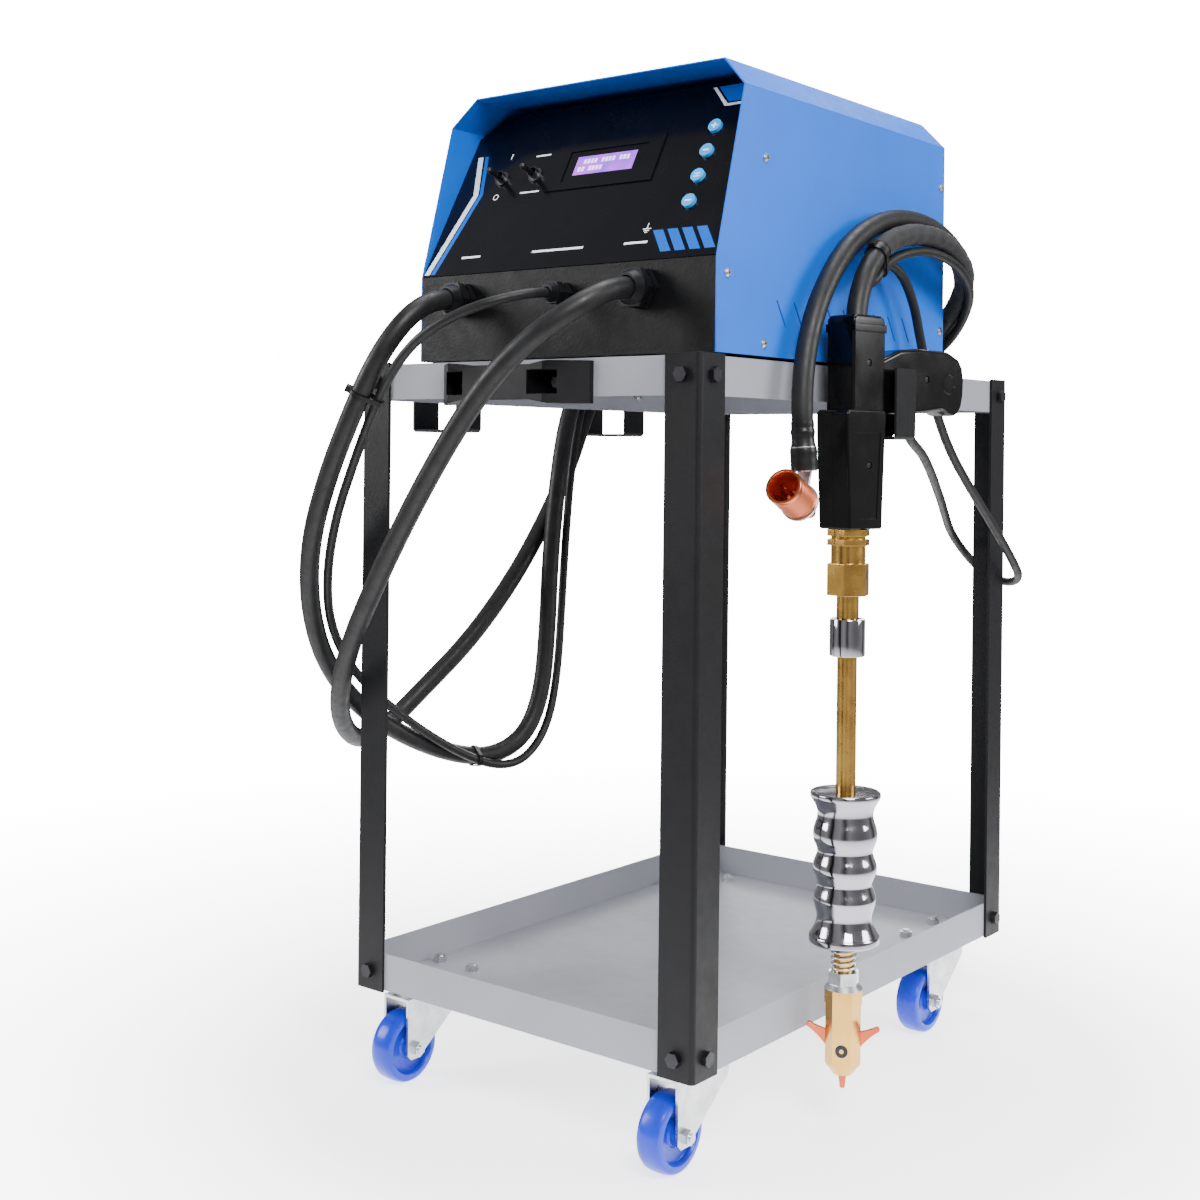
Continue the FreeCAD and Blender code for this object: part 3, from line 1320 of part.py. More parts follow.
def make_cable(name, route, diameter):
    """Round cable along straight runs joined by tangent arcs."""
    points = [Vector(*point) for point in route]
    runs = [b - a for a, b in zip(points, points[1:])]
    edges = []
    start = points[0]
    tightest = math.inf
    for corner, before, after in zip(points[1:], runs, runs[1:]):
        into = Vector(before).normalize()
        out = Vector(after).normalize()
        reach = 0.45 * min(before.Length, after.Length)
        half_turn = into.getAngle(out) / 2
        radius = reach / math.tan(half_turn)
        middle = corner + (out - into).normalize() * (radius / math.cos(half_turn) - radius)
        arc_start = corner - into * reach
        arc_end = corner + out * reach
        edges.append(Part.LineSegment(start, arc_start).toShape())
        edges.append(Part.Arc(arc_start, middle, arc_end).toShape())
        start = arc_end
        tightest = min(tightest, radius)
    edges.append(Part.LineSegment(start, points[-1]).toShape())
    section = Part.Wire(Part.makeCircle(diameter / 2, points[0], runs[0]))
    shape = Part.Wire(edges).makePipeShell([section], True, True)
    length = sum(edge.Length for edge in edges)
    expected = length * math.pi * diameter ** 2 / 4
    print(f"{name}: {length:.0f} long, tightest bend {tightest:.1f}, volume {shape.Volume / expected:.4f} of expected")
    node(shaped(name, shape, trolley_placement()), name)


def band_face(low_radius, high_radius, apart):
    """Face inside a belt round two circles on the local X axis, the first at the origin."""
    spread = math.acos((low_radius - high_radius) / apart)
    first = Vector(math.cos(spread), math.sin(spread), 0)
    second = Vector(math.cos(spread), -math.sin(spread), 0)
    far = Vector(apart, 0, 0)
    edges = [
        Part.Arc(first * low_radius, Vector(-low_radius, 0, 0), second * low_radius).toShape(),
        Part.LineSegment(second * low_radius, far + second * high_radius).toShape(),
        Part.Arc(far + second * high_radius, Vector(apart + high_radius, 0, 0), far + first * high_radius).toShape(),
        Part.LineSegment(far + first * high_radius, first * low_radius).toShape(),
    ]
    return Part.Face(Part.Wire(edges))


def make_ties():
    """Three nylon ties that hold the signal cable to the main cable, each with its square head."""
    ties = []
    main_room = size("weld_cable") / 2 + 0.5
    signal_room = size("signal_cable") / 2 + 1
    for main_point, along, signal_point in TIES:
        axis = Vector(*along).normalize()
        across = Vector(*signal_point) - Vector(*main_point)
        across = across - axis * across.dot(axis)
        outer = band_face(main_room + TIE_SHEET, signal_room + TIE_SHEET, across.Length)
        inner = band_face(main_room, signal_room, across.Length)
        band = outer.cut(inner).extrude(Vector(0, 0, TIE_WIDTH))
        head = Part.makeBox(5, 7, 6.4, Vector(-main_room - TIE_SHEET - 4, -3.5, -0.8))
        tie = band.fuse(head).removeSplitter()
        tie.Placement = Placement(Vector(*main_point), Rotation(across, Vector(), axis, "ZXY"))
        ties.append(tie.Solids[0])
    node(shaped("cable_ties", Part.makeCompound(ties), trolley_placement()), "cable_ties")


# ---------------------------------------------------------------- earth clamp

def clamp_placement():
    """Clamp frame: origin at the middle of the base ring's back, +Z out of the cup's mouth."""
    place = trolley_placement("clamp_x", "clamp_y", "clamp_z")
    mouth = Vector(0.127, -0.916, 0.380)
    return Placement(place.Base, Rotation(Vector(), Vector(0, 0, 1), mouth, "ZYX"))


def make_earth_cup():
    """Turned copper cup: open mouth with a centre point inside and a tail pin out of its back."""
    radius = size("cup_radius")
    mouth = size("cup_length")
    outline = [
        (0, -28), (4.5, -28), (6, -26.5), (6, 3), (radius - 1, 3), (radius, 4), (radius, mouth - 1),
        (radius - 0.8, mouth), (radius - 2.5, mouth), (7, 14), (3, 13), (1.6, mouth - 8), (0, mouth - 5),
    ]
    points = [Vector(x, 0, z) for x, z in outline]
    face = Part.Face(Part.makePolygon(points + [points[0]]))
    cup = face.revolve(Vector(), Vector(0, 0, 1), 360)
    node(shaped("earth_cup", cup, clamp_placement()), "earth_cup")


def make_earth_base():
    """Zinc ring behind the cup, with a lug up to the crimp barrel on the earth cable's end."""
    ring = Part.makeCylinder(size("cup_radius") + 1, 3)
    lug = Part.makeBox(14, 30, 3, Vector(-7, 5, 0))
    base = ring.fuse(lug).cut(Part.makeCylinder(6.02, 5, Vector(0, 0, -1)))
    base.Placement = clamp_placement()
    corner, end = (Vector(*point) for point in EARTH_ROUTE[-2:])
    down = (end - corner).normalize()
    cable = size("weld_cable") / 2
    barrel = Part.makeCylinder(cable + 2, 24, end - down * 14, down)
    barrel = barrel.cut(Part.makeCylinder(cable + 0.02, 14, end - down * 14, down))
    barrel.translate(trolley_placement().Base)
    shape = base.fuse(barrel)
    node(shaped("earth_base", shape.Solids[0], Placement()), "earth_base")


def make_leads():
    make_cable("main_cable", MAIN_ROUTE, size("weld_cable"))
    make_cable("earth_cable", EARTH_ROUTE, size("weld_cable"))
    make_cable("signal_cable", SIGNAL_ROUTE, size("signal_cable"))
    make_ties()
    make_earth_cup()
    make_earth_base()


# ---------------------------------------------------------------- build, check and write

def check_and_write():
    doc.recompute()
    for obj in doc.Objects:
        if "Invalid" in obj.State or "Error" in obj.State:
            raise RuntimeError(f"{obj.Name} failed: {obj.State}")
    os.makedirs("parts", exist_ok=True)
    for name, obj in NODES.items():
        shape = obj.Shape
        if shape.isNull() or not shape.isValid():
            raise RuntimeError(f"{name} has no valid shape")
        if not shape.Solids:
            raise RuntimeError(f"{name} has no solid")
        shape.exportStep(f"parts/{name}.step")
    print(len(NODES), "sub-parts written")


for corner_name, corner_x, corner_y in CORNERS:
    make_post(f"post_{corner_name}", corner_x, corner_y)
make_top_tray()
make_bottom_tray()
make_tray_bolts()
make_casters()
make_handle()
make_hook("left_front_hook", -1, "left_front_hook_y", "hook_low")
make_hook("left_back_hook", -1, "left_back_hook_y", "hook_low")
make_hook("gun_hook", 1, "gun_hook_y", "gun_hook_low")
make_fitting_bolts()
make_power_unit()
make_gun()
make_leads()
check_and_write()
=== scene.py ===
import math

import bmesh
import bpy
import numpy as np
from mathutils import Matrix, Vector


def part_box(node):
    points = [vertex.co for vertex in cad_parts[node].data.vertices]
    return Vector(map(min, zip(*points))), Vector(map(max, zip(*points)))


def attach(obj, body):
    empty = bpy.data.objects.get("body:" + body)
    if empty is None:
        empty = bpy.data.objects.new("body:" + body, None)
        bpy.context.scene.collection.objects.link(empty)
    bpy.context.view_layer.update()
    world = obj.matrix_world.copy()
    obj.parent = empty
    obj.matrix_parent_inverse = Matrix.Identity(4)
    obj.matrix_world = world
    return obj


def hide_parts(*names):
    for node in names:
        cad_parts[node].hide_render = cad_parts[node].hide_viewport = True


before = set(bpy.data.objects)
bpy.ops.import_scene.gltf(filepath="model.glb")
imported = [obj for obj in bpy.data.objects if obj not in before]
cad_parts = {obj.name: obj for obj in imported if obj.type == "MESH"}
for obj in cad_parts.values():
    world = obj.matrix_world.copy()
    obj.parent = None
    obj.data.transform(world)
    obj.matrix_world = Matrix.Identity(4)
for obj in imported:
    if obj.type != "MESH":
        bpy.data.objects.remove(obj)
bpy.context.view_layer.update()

# ---------------------------------------------------------------- places

# the trolley's middle, on the floor: the CAD's cable routes are measured from it
_front_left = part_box("post_front_left")[0]
_back_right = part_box("post_back_right")[1]
TROLLEY = Vector(((_front_left.x + _back_right.x) / 2, (_front_left.y + _back_right.y) / 2, 0))
_rod_low, _rod_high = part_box("pull_rod")
GUN = Vector(((_rod_low.x + _rod_high.x) / 2, (_rod_low.y + _rod_high.y) / 2, 0))
GUN_TURN = math.radians(-10)
HOLDER_TURN = math.radians(-64.4)
PANEL_LEAN = math.radians(28.65)
UNIT_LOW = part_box("cover")[0]
# height of the panel's lower edge
KNEE = 0.8515
MM = 0.001
WELD_DIAMETER = 0.021
SIGNAL_DIAMETER = 0.010
# the star tip's pin: its height on the rod's axis, and its ends' distance from that axis
PIN_HEIGHT = 0.086
PIN_REACH = 0.01665
CORNERS = ("front_left", "front_right", "back_left", "back_right")
BOX_FACES = ((0, 1, 2, 3), (7, 6, 5, 4), (0, 4, 5, 1), (1, 5, 6, 2), (2, 6, 7, 3), (3, 7, 4, 0))


def on_trolley(x, y, z):
    return TROLLEY + Vector((x, y, z))


def gun_matrix(turn=GUN_TURN):
    return Matrix.Translation(GUN) @ Matrix.Rotation(turn, 4, "Z")


def panel_matrix():
    """Panel frame: origin at the middle of its lower edge, +Z up along the panel, -Y out of it."""
    return Matrix.Translation(Vector((TROLLEY.x, UNIT_LOW.y, KNEE))) @ Matrix.Rotation(-PANEL_LEAN, 4, "X")


# ---------------------------------------------------------------- materials

def new_material(name, color, rough=0.5, metal=0.0, coat=0.0, specular=0.5):
    material = bpy.data.materials.new(name)
    material.use_nodes = True
    tree = material.node_tree
    shader = tree.nodes["Principled BSDF"]
    shader.inputs["Base Color"].default_value = (*color, 1)
    shader.inputs["Roughness"].default_value = rough
    shader.inputs["Metallic"].default_value = metal
    shader.inputs["Coat Weight"].default_value = coat
    shader.inputs["Coat Roughness"].default_value = 0.12
    shader.inputs["Specular IOR Level"].default_value = specular
    return material, tree, shader


def link(tree, a, out, b, into):
    tree.links.new(a.outputs[out], b.inputs[into])


def coordinates(tree, scale=(1, 1, 1)):
    place = tree.nodes.new("ShaderNodeTexCoord")
    mapping = tree.nodes.new("ShaderNodeMapping")
    mapping.inputs["Scale"].default_value = scale
    link(tree, place, "Object", mapping, "Vector")
    return mapping


def noise(tree, scale, detail=3.0, stretch=(1, 1, 1)):
    texture = tree.nodes.new("ShaderNodeTexNoise")
    texture.inputs["Scale"].default_value = scale
    texture.inputs["Detail"].default_value = detail
    link(tree, coordinates(tree, stretch), "Vector", texture, "Vector")
    return texture


def vary_color(tree, shader, texture, low, high, start=0.3, end=0.7):
    ramp = tree.nodes.new("ShaderNodeValToRGB")
    ramp.color_ramp.elements[0].position = start
    ramp.color_ramp.elements[1].position = end
    ramp.color_ramp.elements[0].color = (*low, 1)
    ramp.color_ramp.elements[1].color = (*high, 1)
    link(tree, texture, "Fac", ramp, "Fac")
    link(tree, ramp, "Color", shader, "Base Color")
    return ramp


def vary_rough(tree, shader, texture, low, high):
    spread = tree.nodes.new("ShaderNodeMapRange")
    spread.inputs["From Min"].default_value = 0.3
    spread.inputs["From Max"].default_value = 0.7
    spread.inputs["To Min"].default_value = low
    spread.inputs["To Max"].default_value = high
    link(tree, texture, "Fac", spread, "Value")
    link(tree, spread, "Result", shader, "Roughness")


def add_bump(tree, shader, texture, strength, distance):
    bump = tree.nodes.new("ShaderNodeBump")
    bump.inputs["Strength"].default_value = strength
    bump.inputs["Distance"].default_value = distance
    link(tree, texture, "Fac", bump, "Height")
    link(tree, bump, "Normal", shader, "Normal")


def scaled(color, factor):
    return tuple(min(1.0, c * factor) for c in color)


def gloss_level(color):
    """Dark finishes in the photograph give back little of the room's light."""
    return 0.16 if max(color) < 0.02 else 0.25


def powder_coat(name, color, rough, grain=900.0, depth=0.00012, strength=0.35, coat=0.0):
    """Powder coat: fine orange peel, with a faint drift of tone and gloss."""
    material, tree, shader = new_material(name, color, rough, coat=coat, specular=gloss_level(color))
    drift = noise(tree, 7.0, 2.0)
    vary_color(tree, shader, drift, scaled(color, 0.94), scaled(color, 1.05))
    peel = noise(tree, grain, 2.0)
    add_bump(tree, shader, peel, strength, depth)
    vary_rough(tree, shader, noise(tree, 60.0, 4.0), rough - 0.05, rough + 0.05)
    return material


def moulded(name, color, rough, grain=1500.0, strength=0.15, coat=0.0):
    """Moulded plastic: fine spark-eroded grain and slight gloss changes from handling."""
    material, tree, shader = new_material(name, color, rough, coat=coat, specular=gloss_level(color))
    vary_color(tree, shader, noise(tree, 25.0, 3.0), scaled(color, 0.85), scaled(color, 1.2))
    add_bump(tree, shader, noise(tree, grain, 2.0), strength, 0.0001)
    vary_rough(tree, shader, noise(tree, 40.0, 4.0), rough - 0.06, rough + 0.08)
    return material


def turned_metal(name, color, rough, rings=1400.0, strength=0.12, tarnish=0.85):
    """Lathe-turned metal: tool rings across the vertical axis, with soft tarnish."""
    material, tree, shader = new_material(name, color, rough, metal=1.0)
    vary_color(tree, shader, noise(tree, 30.0, 4.0, (1, 1, 0.5)), scaled(color, tarnish), color)
    add_bump(tree, shader, noise(tree, rings, 2.0, (0.02, 0.02, 1)), strength, 0.00006)
    vary_rough(tree, shader, noise(tree, 45.0, 5.0), rough - 0.05, rough + 0.09)
    return material


def plated_metal(name, color, rough, strength=0.1):
    """Zinc or nickel plate: cloudy passivation and fine drawing marks."""
    material, tree, shader = new_material(name, color, rough, metal=1.0)
    vary_color(tree, shader, noise(tree, 55.0, 5.0), scaled(color, 0.72), color)
    add_bump(tree, shader, noise(tree, 800.0, 3.0, (1, 0.15, 1)), strength, 0.00005)
    vary_rough(tree, shader, noise(tree, 90.0, 5.0), rough - 0.06, rough + 0.14)
    return material


def rubber_sheath(name, color, rough):
    """Extruded rubber: matt skin with fine pits and dusty patches."""
    material, tree, shader = new_material(name, color, rough, specular=0.25)
    vary_color(tree, shader, noise(tree, 45.0, 6.0), scaled(color, 0.75), scaled(color, 1.5))
    add_bump(tree, shader, noise(tree, 700.0, 2.0), 0.12, 0.0001)
    vary_rough(tree, shader, noise(tree, 120.0, 4.0), rough - 0.08, rough + 0.1)
    return material


def woven_sleeve(name, color):
    """Wrinkled textile sleeve: a fine braid over it and a loose sheen."""
    material, tree, shader = new_material(name, color, 0.62, specular=0.2)
    shader.inputs["Sheen Weight"].default_value = 0.06
    wave = tree.nodes.new("ShaderNodeTexWave")
    wave.inputs["Scale"].default_value = 420.0
    wave.inputs["Distortion"].default_value = 2.0
    link(tree, coordinates(tree, (1, 0.8, 1.2)), "Vector", wave, "Vector")
    vary_color(tree, shader, noise(tree, 70.0, 4.0), scaled(color, 0.7), scaled(color, 1.6))
    add_bump(tree, shader, wave, 0.35, 0.0003)
    return material


PAINT_BLACK = powder_coat("satin_black_coat", (0.007, 0.007, 0.008), 0.46, 700.0, 0.00025, 0.45)
TRAY_GREY = powder_coat("light_grey_coat", (0.235, 0.243, 0.275), 0.44, 500.0, 0.00018, 0.35)
COVER_BLUE = powder_coat("azure_coat", (0.000, 0.105, 0.560), 0.40, 650.0, 0.00010, 0.22)
CHASSIS_BLACK = powder_coat("textured_black_coat", (0.0025, 0.0025, 0.003), 0.50, 420.0, 0.00045, 0.65)
ZINC = plated_metal("zinc_plate", (0.62, 0.63, 0.65), 0.27)
DARK_NICKEL = plated_metal("dark_nickel", (0.16, 0.16, 0.17), 0.25, 0.05)
BOLT_BLACK = plated_metal("black_oxide", (0.045, 0.045, 0.05), 0.42)
CASTER_BLUE = moulded("royal_blue_nylon", (0.000, 0.018, 0.420), 0.30, 900.0, 0.12, coat=0.15)
HANDLE_BLACK = moulded("handle_nylon", (0.006, 0.006, 0.007), 0.42, 600.0, 0.35)
GLAND_BLACK = moulded("gland_nylon", (0.004, 0.004, 0.005), 0.36)
GUN_BLACK = moulded("gun_shell_gloss", (0.0018, 0.0018, 0.002), 0.16, 500.0, 0.05, coat=0.12)
TIE_BLACK = moulded("tie_nylon", (0.006, 0.006, 0.006), 0.35)
FOOT_BLACK = rubber_sheath("foot_rubber", (0.020, 0.020, 0.020), 0.75)
CABLE_BLACK = rubber_sheath("cable_rubber", (0.0075, 0.0075, 0.008), 0.46)
SLEEVE_BLACK = woven_sleeve("textile_sleeve", (0.008, 0.008, 0.009))
SHRINK_BLACK = rubber_sheath("heat_shrink", (0.006, 0.006, 0.0065), 0.36)
PANEL_BLACK = moulded("panel_film", (0.0016, 0.0018, 0.003), 0.22, 900.0, 0.06, coat=0.15)
BRASS = turned_metal("turned_brass", (0.62, 0.36, 0.09), 0.24, 1400.0, 0.05, 0.92)
CHROME = turned_metal("polished_chrome", (0.34, 0.33, 0.36), 0.09, 900.0, 0.04, 0.92)
COPPER = turned_metal("bare_copper", (0.62, 0.13, 0.05), 0.38, 1100.0, 0.2, 0.78)
CUP_COPPER = turned_metal("knurled_copper", (0.62, 0.17, 0.075), 0.30, 900.0, 0.1, 0.8)
BOARD_GREEN = moulded("solder_mask", (0.02, 0.16, 0.06), 0.35)
CORE_STEEL = plated_metal("lamination_steel", (0.22, 0.22, 0.23), 0.45)
COIL_COPPER = turned_metal("varnished_winding", (0.45, 0.18, 0.07), 0.35, 500.0, 0.6, 0.7)
PRINT_WHITE = powder_coat("print_white", (0.80, 0.82, 0.85), 0.35, 900.0, 0.00002, 0.1)
PRINT_BLUE = powder_coat("print_blue", (0.000, 0.090, 0.480), 0.32, 900.0, 0.00002, 0.1)
BUTTON_BLUE = moulded("button_cap_blue", (0.02, 0.30, 0.75), 0.28, 900.0, 0.05, coat=0.4)


def lit_window(name, low, high, strength):
    """Backlit display film: the light is mottled."""
    material, tree, shader = new_material(name, low, 0.2, coat=0.4)
    glow = noise(tree, 60.0, 2.0)
    ramp = vary_color(tree, shader, glow, low, high, 0.2, 0.8)
    link(tree, ramp, "Color", shader, "Emission Color")
    shader.inputs["Emission Strength"].default_value = strength
    return material


WINDOW_LIT = lit_window("display_lit", (0.10, 0.035, 0.60), (0.42, 0.07, 0.62), 1.3)
WINDOW_MARK = lit_window("display_marks", (0.70, 0.45, 0.95), (0.80, 0.60, 1.0), 1.6)

NODE_MATERIALS = {
    "top_tray": TRAY_GREY, "bottom_tray": TRAY_GREY, "tray_bolts": BOLT_BLACK, "caster_plates": ZINC,
    "caster_bolts": ZINC, "fitting_bolts": ZINC, "chassis": CHASSIS_BLACK, "chassis_feet": FOOT_BLACK,
    "cover_screws": ZINC, "control_panel": PANEL_BLACK, "display": PANEL_BLACK, "power_toggle": BOLT_BLACK,
    "mode_toggle": BOLT_BLACK, "toggle_bodies": DARK_NICKEL, "button_enter": BUTTON_BLUE,
    "button_menu": BUTTON_BLUE,
    "button_minus": BUTTON_BLUE, "button_plus": BUTTON_BLUE, "control_board": BOARD_GREEN,
    "transformer_core": CORE_STEEL, "transformer_coils": COIL_COPPER, "main_gland": GLAND_BLACK,
    "signal_gland": GLAND_BLACK, "earth_gland": GLAND_BLACK, "mains_gland": GLAND_BLACK,
    "gun_shell_right": GUN_BLACK, "gun_shell_left": GUN_BLACK, "gun_trigger": GUN_BLACK, "chuck": BRASS,
    "nose_rings": BRASS, "pull_rod": BRASS, "stop_collar": CHROME, "slide_hammer": CHROME,
    "hammer_spring": ZINC, "lock_nut": ZINC, "tip_holder": BRASS, "star_tip": COPPER, "earth_cup": CUP_COPPER,
    "earth_base": ZINC, "main_cable": CABLE_BLACK, "earth_cable": CABLE_BLACK, "signal_cable": CABLE_BLACK,
    "cable_ties": TIE_BLACK, "cover": COVER_BLUE, "front_handle": HANDLE_BLACK,
    "left_front_hook": PAINT_BLACK,
    "left_back_hook": PAINT_BLACK, "gun_hook": PAINT_BLACK,
}
for corner in CORNERS:
    NODE_MATERIALS[f"post_{corner}"] = PAINT_BLACK
    NODE_MATERIALS[f"caster_fork_{corner}"] = ZINC
    NODE_MATERIALS[f"caster_wheel_{corner}"] = CASTER_BLUE

for node_name, cad_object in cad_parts.items():
    cad_object.data.materials.clear()
    cad_object.data.materials.append(NODE_MATERIALS[node_name])


# ---------------------------------------------------------------- mesh helpers

def finish_piece(obj, material, body, nodes=()):
    obj.data.materials.clear()
    obj.data.materials.append(material)
    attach(obj, body)
    if nodes:
        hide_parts(*nodes)
    return obj


def mesh_from(name, verts, faces, matrix=None):
    mesh = bpy.data.meshes.new(name)
    mesh.from_pydata([tuple(v) for v in verts], [], faces)
    if matrix is not None:
        mesh.transform(matrix)
    mesh.update()
    obj = bpy.data.objects.new(name, mesh)
    bpy.context.scene.collection.objects.link(obj)
    return obj


def tidy_normals(obj, angle=35.0):
    work = bmesh.new()
    work.from_mesh(obj.data)
    bmesh.ops.recalc_face_normals(work, faces=work.faces)
    work.to_mesh(obj.data)
    work.free()
    obj.data.polygons.foreach_set("use_smooth", [True] * len(obj.data.polygons))
    obj.data.set_sharp_from_angle(angle=math.radians(angle))
    return obj


def even_shading(obj):
    """Let the broad faces keep their own normals, so that a narrow rounded edge doesn't tint them."""
    modifier = obj.modifiers.new("shading", "WEIGHTED_NORMAL")
    modifier.mode = "FACE_AREA"
    modifier.weight = 100
    modifier.keep_sharp = True
    return settle(obj)


def settle(obj):
    """Apply the object's modifiers to its mesh."""
    graph = bpy.context.evaluated_depsgraph_get()
    mesh = bpy.data.meshes.new_from_object(obj.evaluated_get(graph))
    obj.modifiers.clear()
    obj.data = mesh
    return obj


def bevel(obj, width, segments=3, angle=30.0):
    modifier = obj.modifiers.new("edges", "BEVEL")
    modifier.width = width
    modifier.segments = segments
    modifier.limit_method = "ANGLE"
    modifier.angle_limit = math.radians(angle)
    modifier.use_clamp_overlap = True
    modifier.miter_outer = "MITER_ARC"
    return settle(obj)


def boolean(obj, other, operation):
    modifier = obj.modifiers.new("join", "BOOLEAN")
    modifier.operation = operation
    modifier.solver = "EXACT"
    modifier.object = other
    settle(obj)
    bpy.data.objects.remove(other)
    return obj


def extruded(name, outline, low, high):
    """Prism of a YZ outline between two X values, in the piece's own frame."""
    count = len(outline)
    verts = [(low, y, z) for y, z in outline] + [(high, y, z) for y, z in outline]
    faces = [tuple(range(count)), tuple(range(2 * count - 1, count - 1, -1))]
    faces += [(k, k + count, (k + 1) % count + count, (k + 1) % count) for k in range(count)]
    obj = mesh_from(name, verts, faces)
    return tidy_normals(obj)


def lathe(name, profile, segments=96, matrix=None, wobble=None):
    """Closed solid of revolution about Z from (radius, height) points; radius 0 ends close it."""
    verts = []
    rings = []
    for radius, height in profile:
        if radius < 1e-7:
            rings.append([len(verts)])
            verts.append((0, 0, height))
            continue
        ring = []
        for k in range(segments):
            angle = 2 * math.pi * k / segments
            reach = radius + (wobble(angle, radius, height) if wobble else 0)
            ring.append(len(verts))
            verts.append((reach * math.cos(angle), reach * math.sin(angle), height))
        rings.append(ring)
    faces = []
    pairs = list(zip(rings, rings[1:]))
    if len(rings[0]) > 1 and len(rings[-1]) > 1:
        pairs.append((rings[-1], rings[0]))
    for a, b in pairs:
        for k in range(segments):
            n = (k + 1) % segments
            if len(a) == 1 and len(b) == 1:
                continue
            if len(a) == 1:
                faces.append((a[0], b[n], b[k]))
            elif len(b) == 1:
                faces.append((a[k], a[n], b[0]))
            else:
                faces.append((a[k], a[n], b[n], b[k]))
    obj = mesh_from(name, verts, faces, matrix)
    return tidy_normals(obj)


def smooth_profile(points, steps=5):
    """Catmull-Rom line through (radius, height) points."""
    padded = [points[0]] + list(points) + [points[-1]]
    out = []
    for a, b, c, d in zip(padded, padded[1:], padded[2:], padded[3:]):
        for k in range(steps):
            t = k / steps
            out.append(tuple(
                0.5 * (2 * q + (r - p) * t + (2 * p - 5 * q + 4 * r - s) * t * t
                       + (3 * q - p - 3 * r + s) * t ** 3)
                for p, q, r, s in zip(a, b, c, d)))
    out.append(points[-1])
    return out


def softened(node, width, segments, body="trolley"):
    """The CAD node's own solid with its sharp edges broken, as pressing and paint leave them."""
    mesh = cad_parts[node].data.copy()
    obj = bpy.data.objects.new(f"{node}_finished", mesh)
    bpy.context.scene.collection.objects.link(obj)
    work = bmesh.new()
    work.from_mesh(mesh)
    bmesh.ops.remove_doubles(work, verts=work.verts, dist=1e-6)
    bmesh.ops.dissolve_limit(work, angle_limit=math.radians(1.0), verts=work.verts, edges=work.edges)
    work.to_mesh(mesh)
    work.free()
    if width:
        bevel(obj, width, segments, 28.0)
    tidy_normals(obj, 50.0)
    even_shading(obj)
    return finish_piece(obj, NODE_MATERIALS[node], body, (node,))


# ---------------------------------------------------------------- camera

def add_camera():
    data = bpy.data.cameras.new("camera")
    data.lens = 49.48
    data.sensor_width = 36.0
    data.shift_y = -0.1227
    camera = bpy.data.objects.new("camera", data)
    bpy.context.scene.collection.objects.link(camera)
    toward = Vector((-0.6228, 0.7824, 0.0)).normalized()
    roll = math.radians(0.65)
    flat_right = toward.cross(Vector((0, 0, 1)))
    right = flat_right * math.cos(roll) + Vector((0, 0, 1)) * math.sin(roll)
    up = right.cross(toward)
    rotation = Matrix((right, up, -toward)).transposed().to_4x4()
    camera.matrix_world = Matrix.Translation(on_trolley(1.0766, -1.5414, 0.6694)) @ rotation
    bpy.context.scene.camera = camera


add_camera()


# ---------------------------------------------------------------- cords

# points of each cable's route in metres from the trolley's middle, as the CAD has them
MAIN_ROUTE = (
    (-0.097, -0.3, 0.825), (-0.097, -0.328, 0.825), (-0.1, -0.358, 0.814), (-0.109, -0.38, 0.791),
    (-0.127, -0.394, 0.755), (-0.16, -0.394, 0.703), (-0.204, -0.385, 0.64), (-0.248, -0.368, 0.571),
    (-0.282, -0.338, 0.501), (-0.3, -0.3, 0.436), (-0.299, -0.251, 0.381), (-0.283, -0.193, 0.341),
    (-0.26, -0.137, 0.315), (-0.239, -0.088, 0.307), (-0.224, -0.046, 0.328), (-0.22, -0.021, 0.376),
    (-0.223, -0.008, 0.45), (-0.228, 0.002, 0.54), (-0.23, 0.016, 0.631), (-0.234, 0.038, 0.712),
    (-0.236, 0.073, 0.7708), (-0.227, 0.111, 0.797), (-0.205, 0.144, 0.803), (-0.173, 0.172, 0.792),
    (-0.135, 0.193, 0.776), (-0.088, 0.206, 0.771), (-0.036, 0.213, 0.771), (0.018, 0.214, 0.7711),
    (0.071, 0.212, 0.7714), (0.121, 0.208, 0.776), (0.162, 0.201, 0.793), (0.198, 0.191, 0.817),
    (0.226, 0.176, 0.841), (0.246, 0.155, 0.865), (0.256, 0.124, 0.884), (0.259, 0.087, 0.898),
    (0.257, 0.044, 0.904), (0.255, 0.0, 0.901), (0.252, -0.04, 0.887), (0.252, -0.073, 0.862),
    (0.253, -0.094, 0.833), (0.255, -0.105, 0.801), (0.257, -0.104, 0.7709),
)
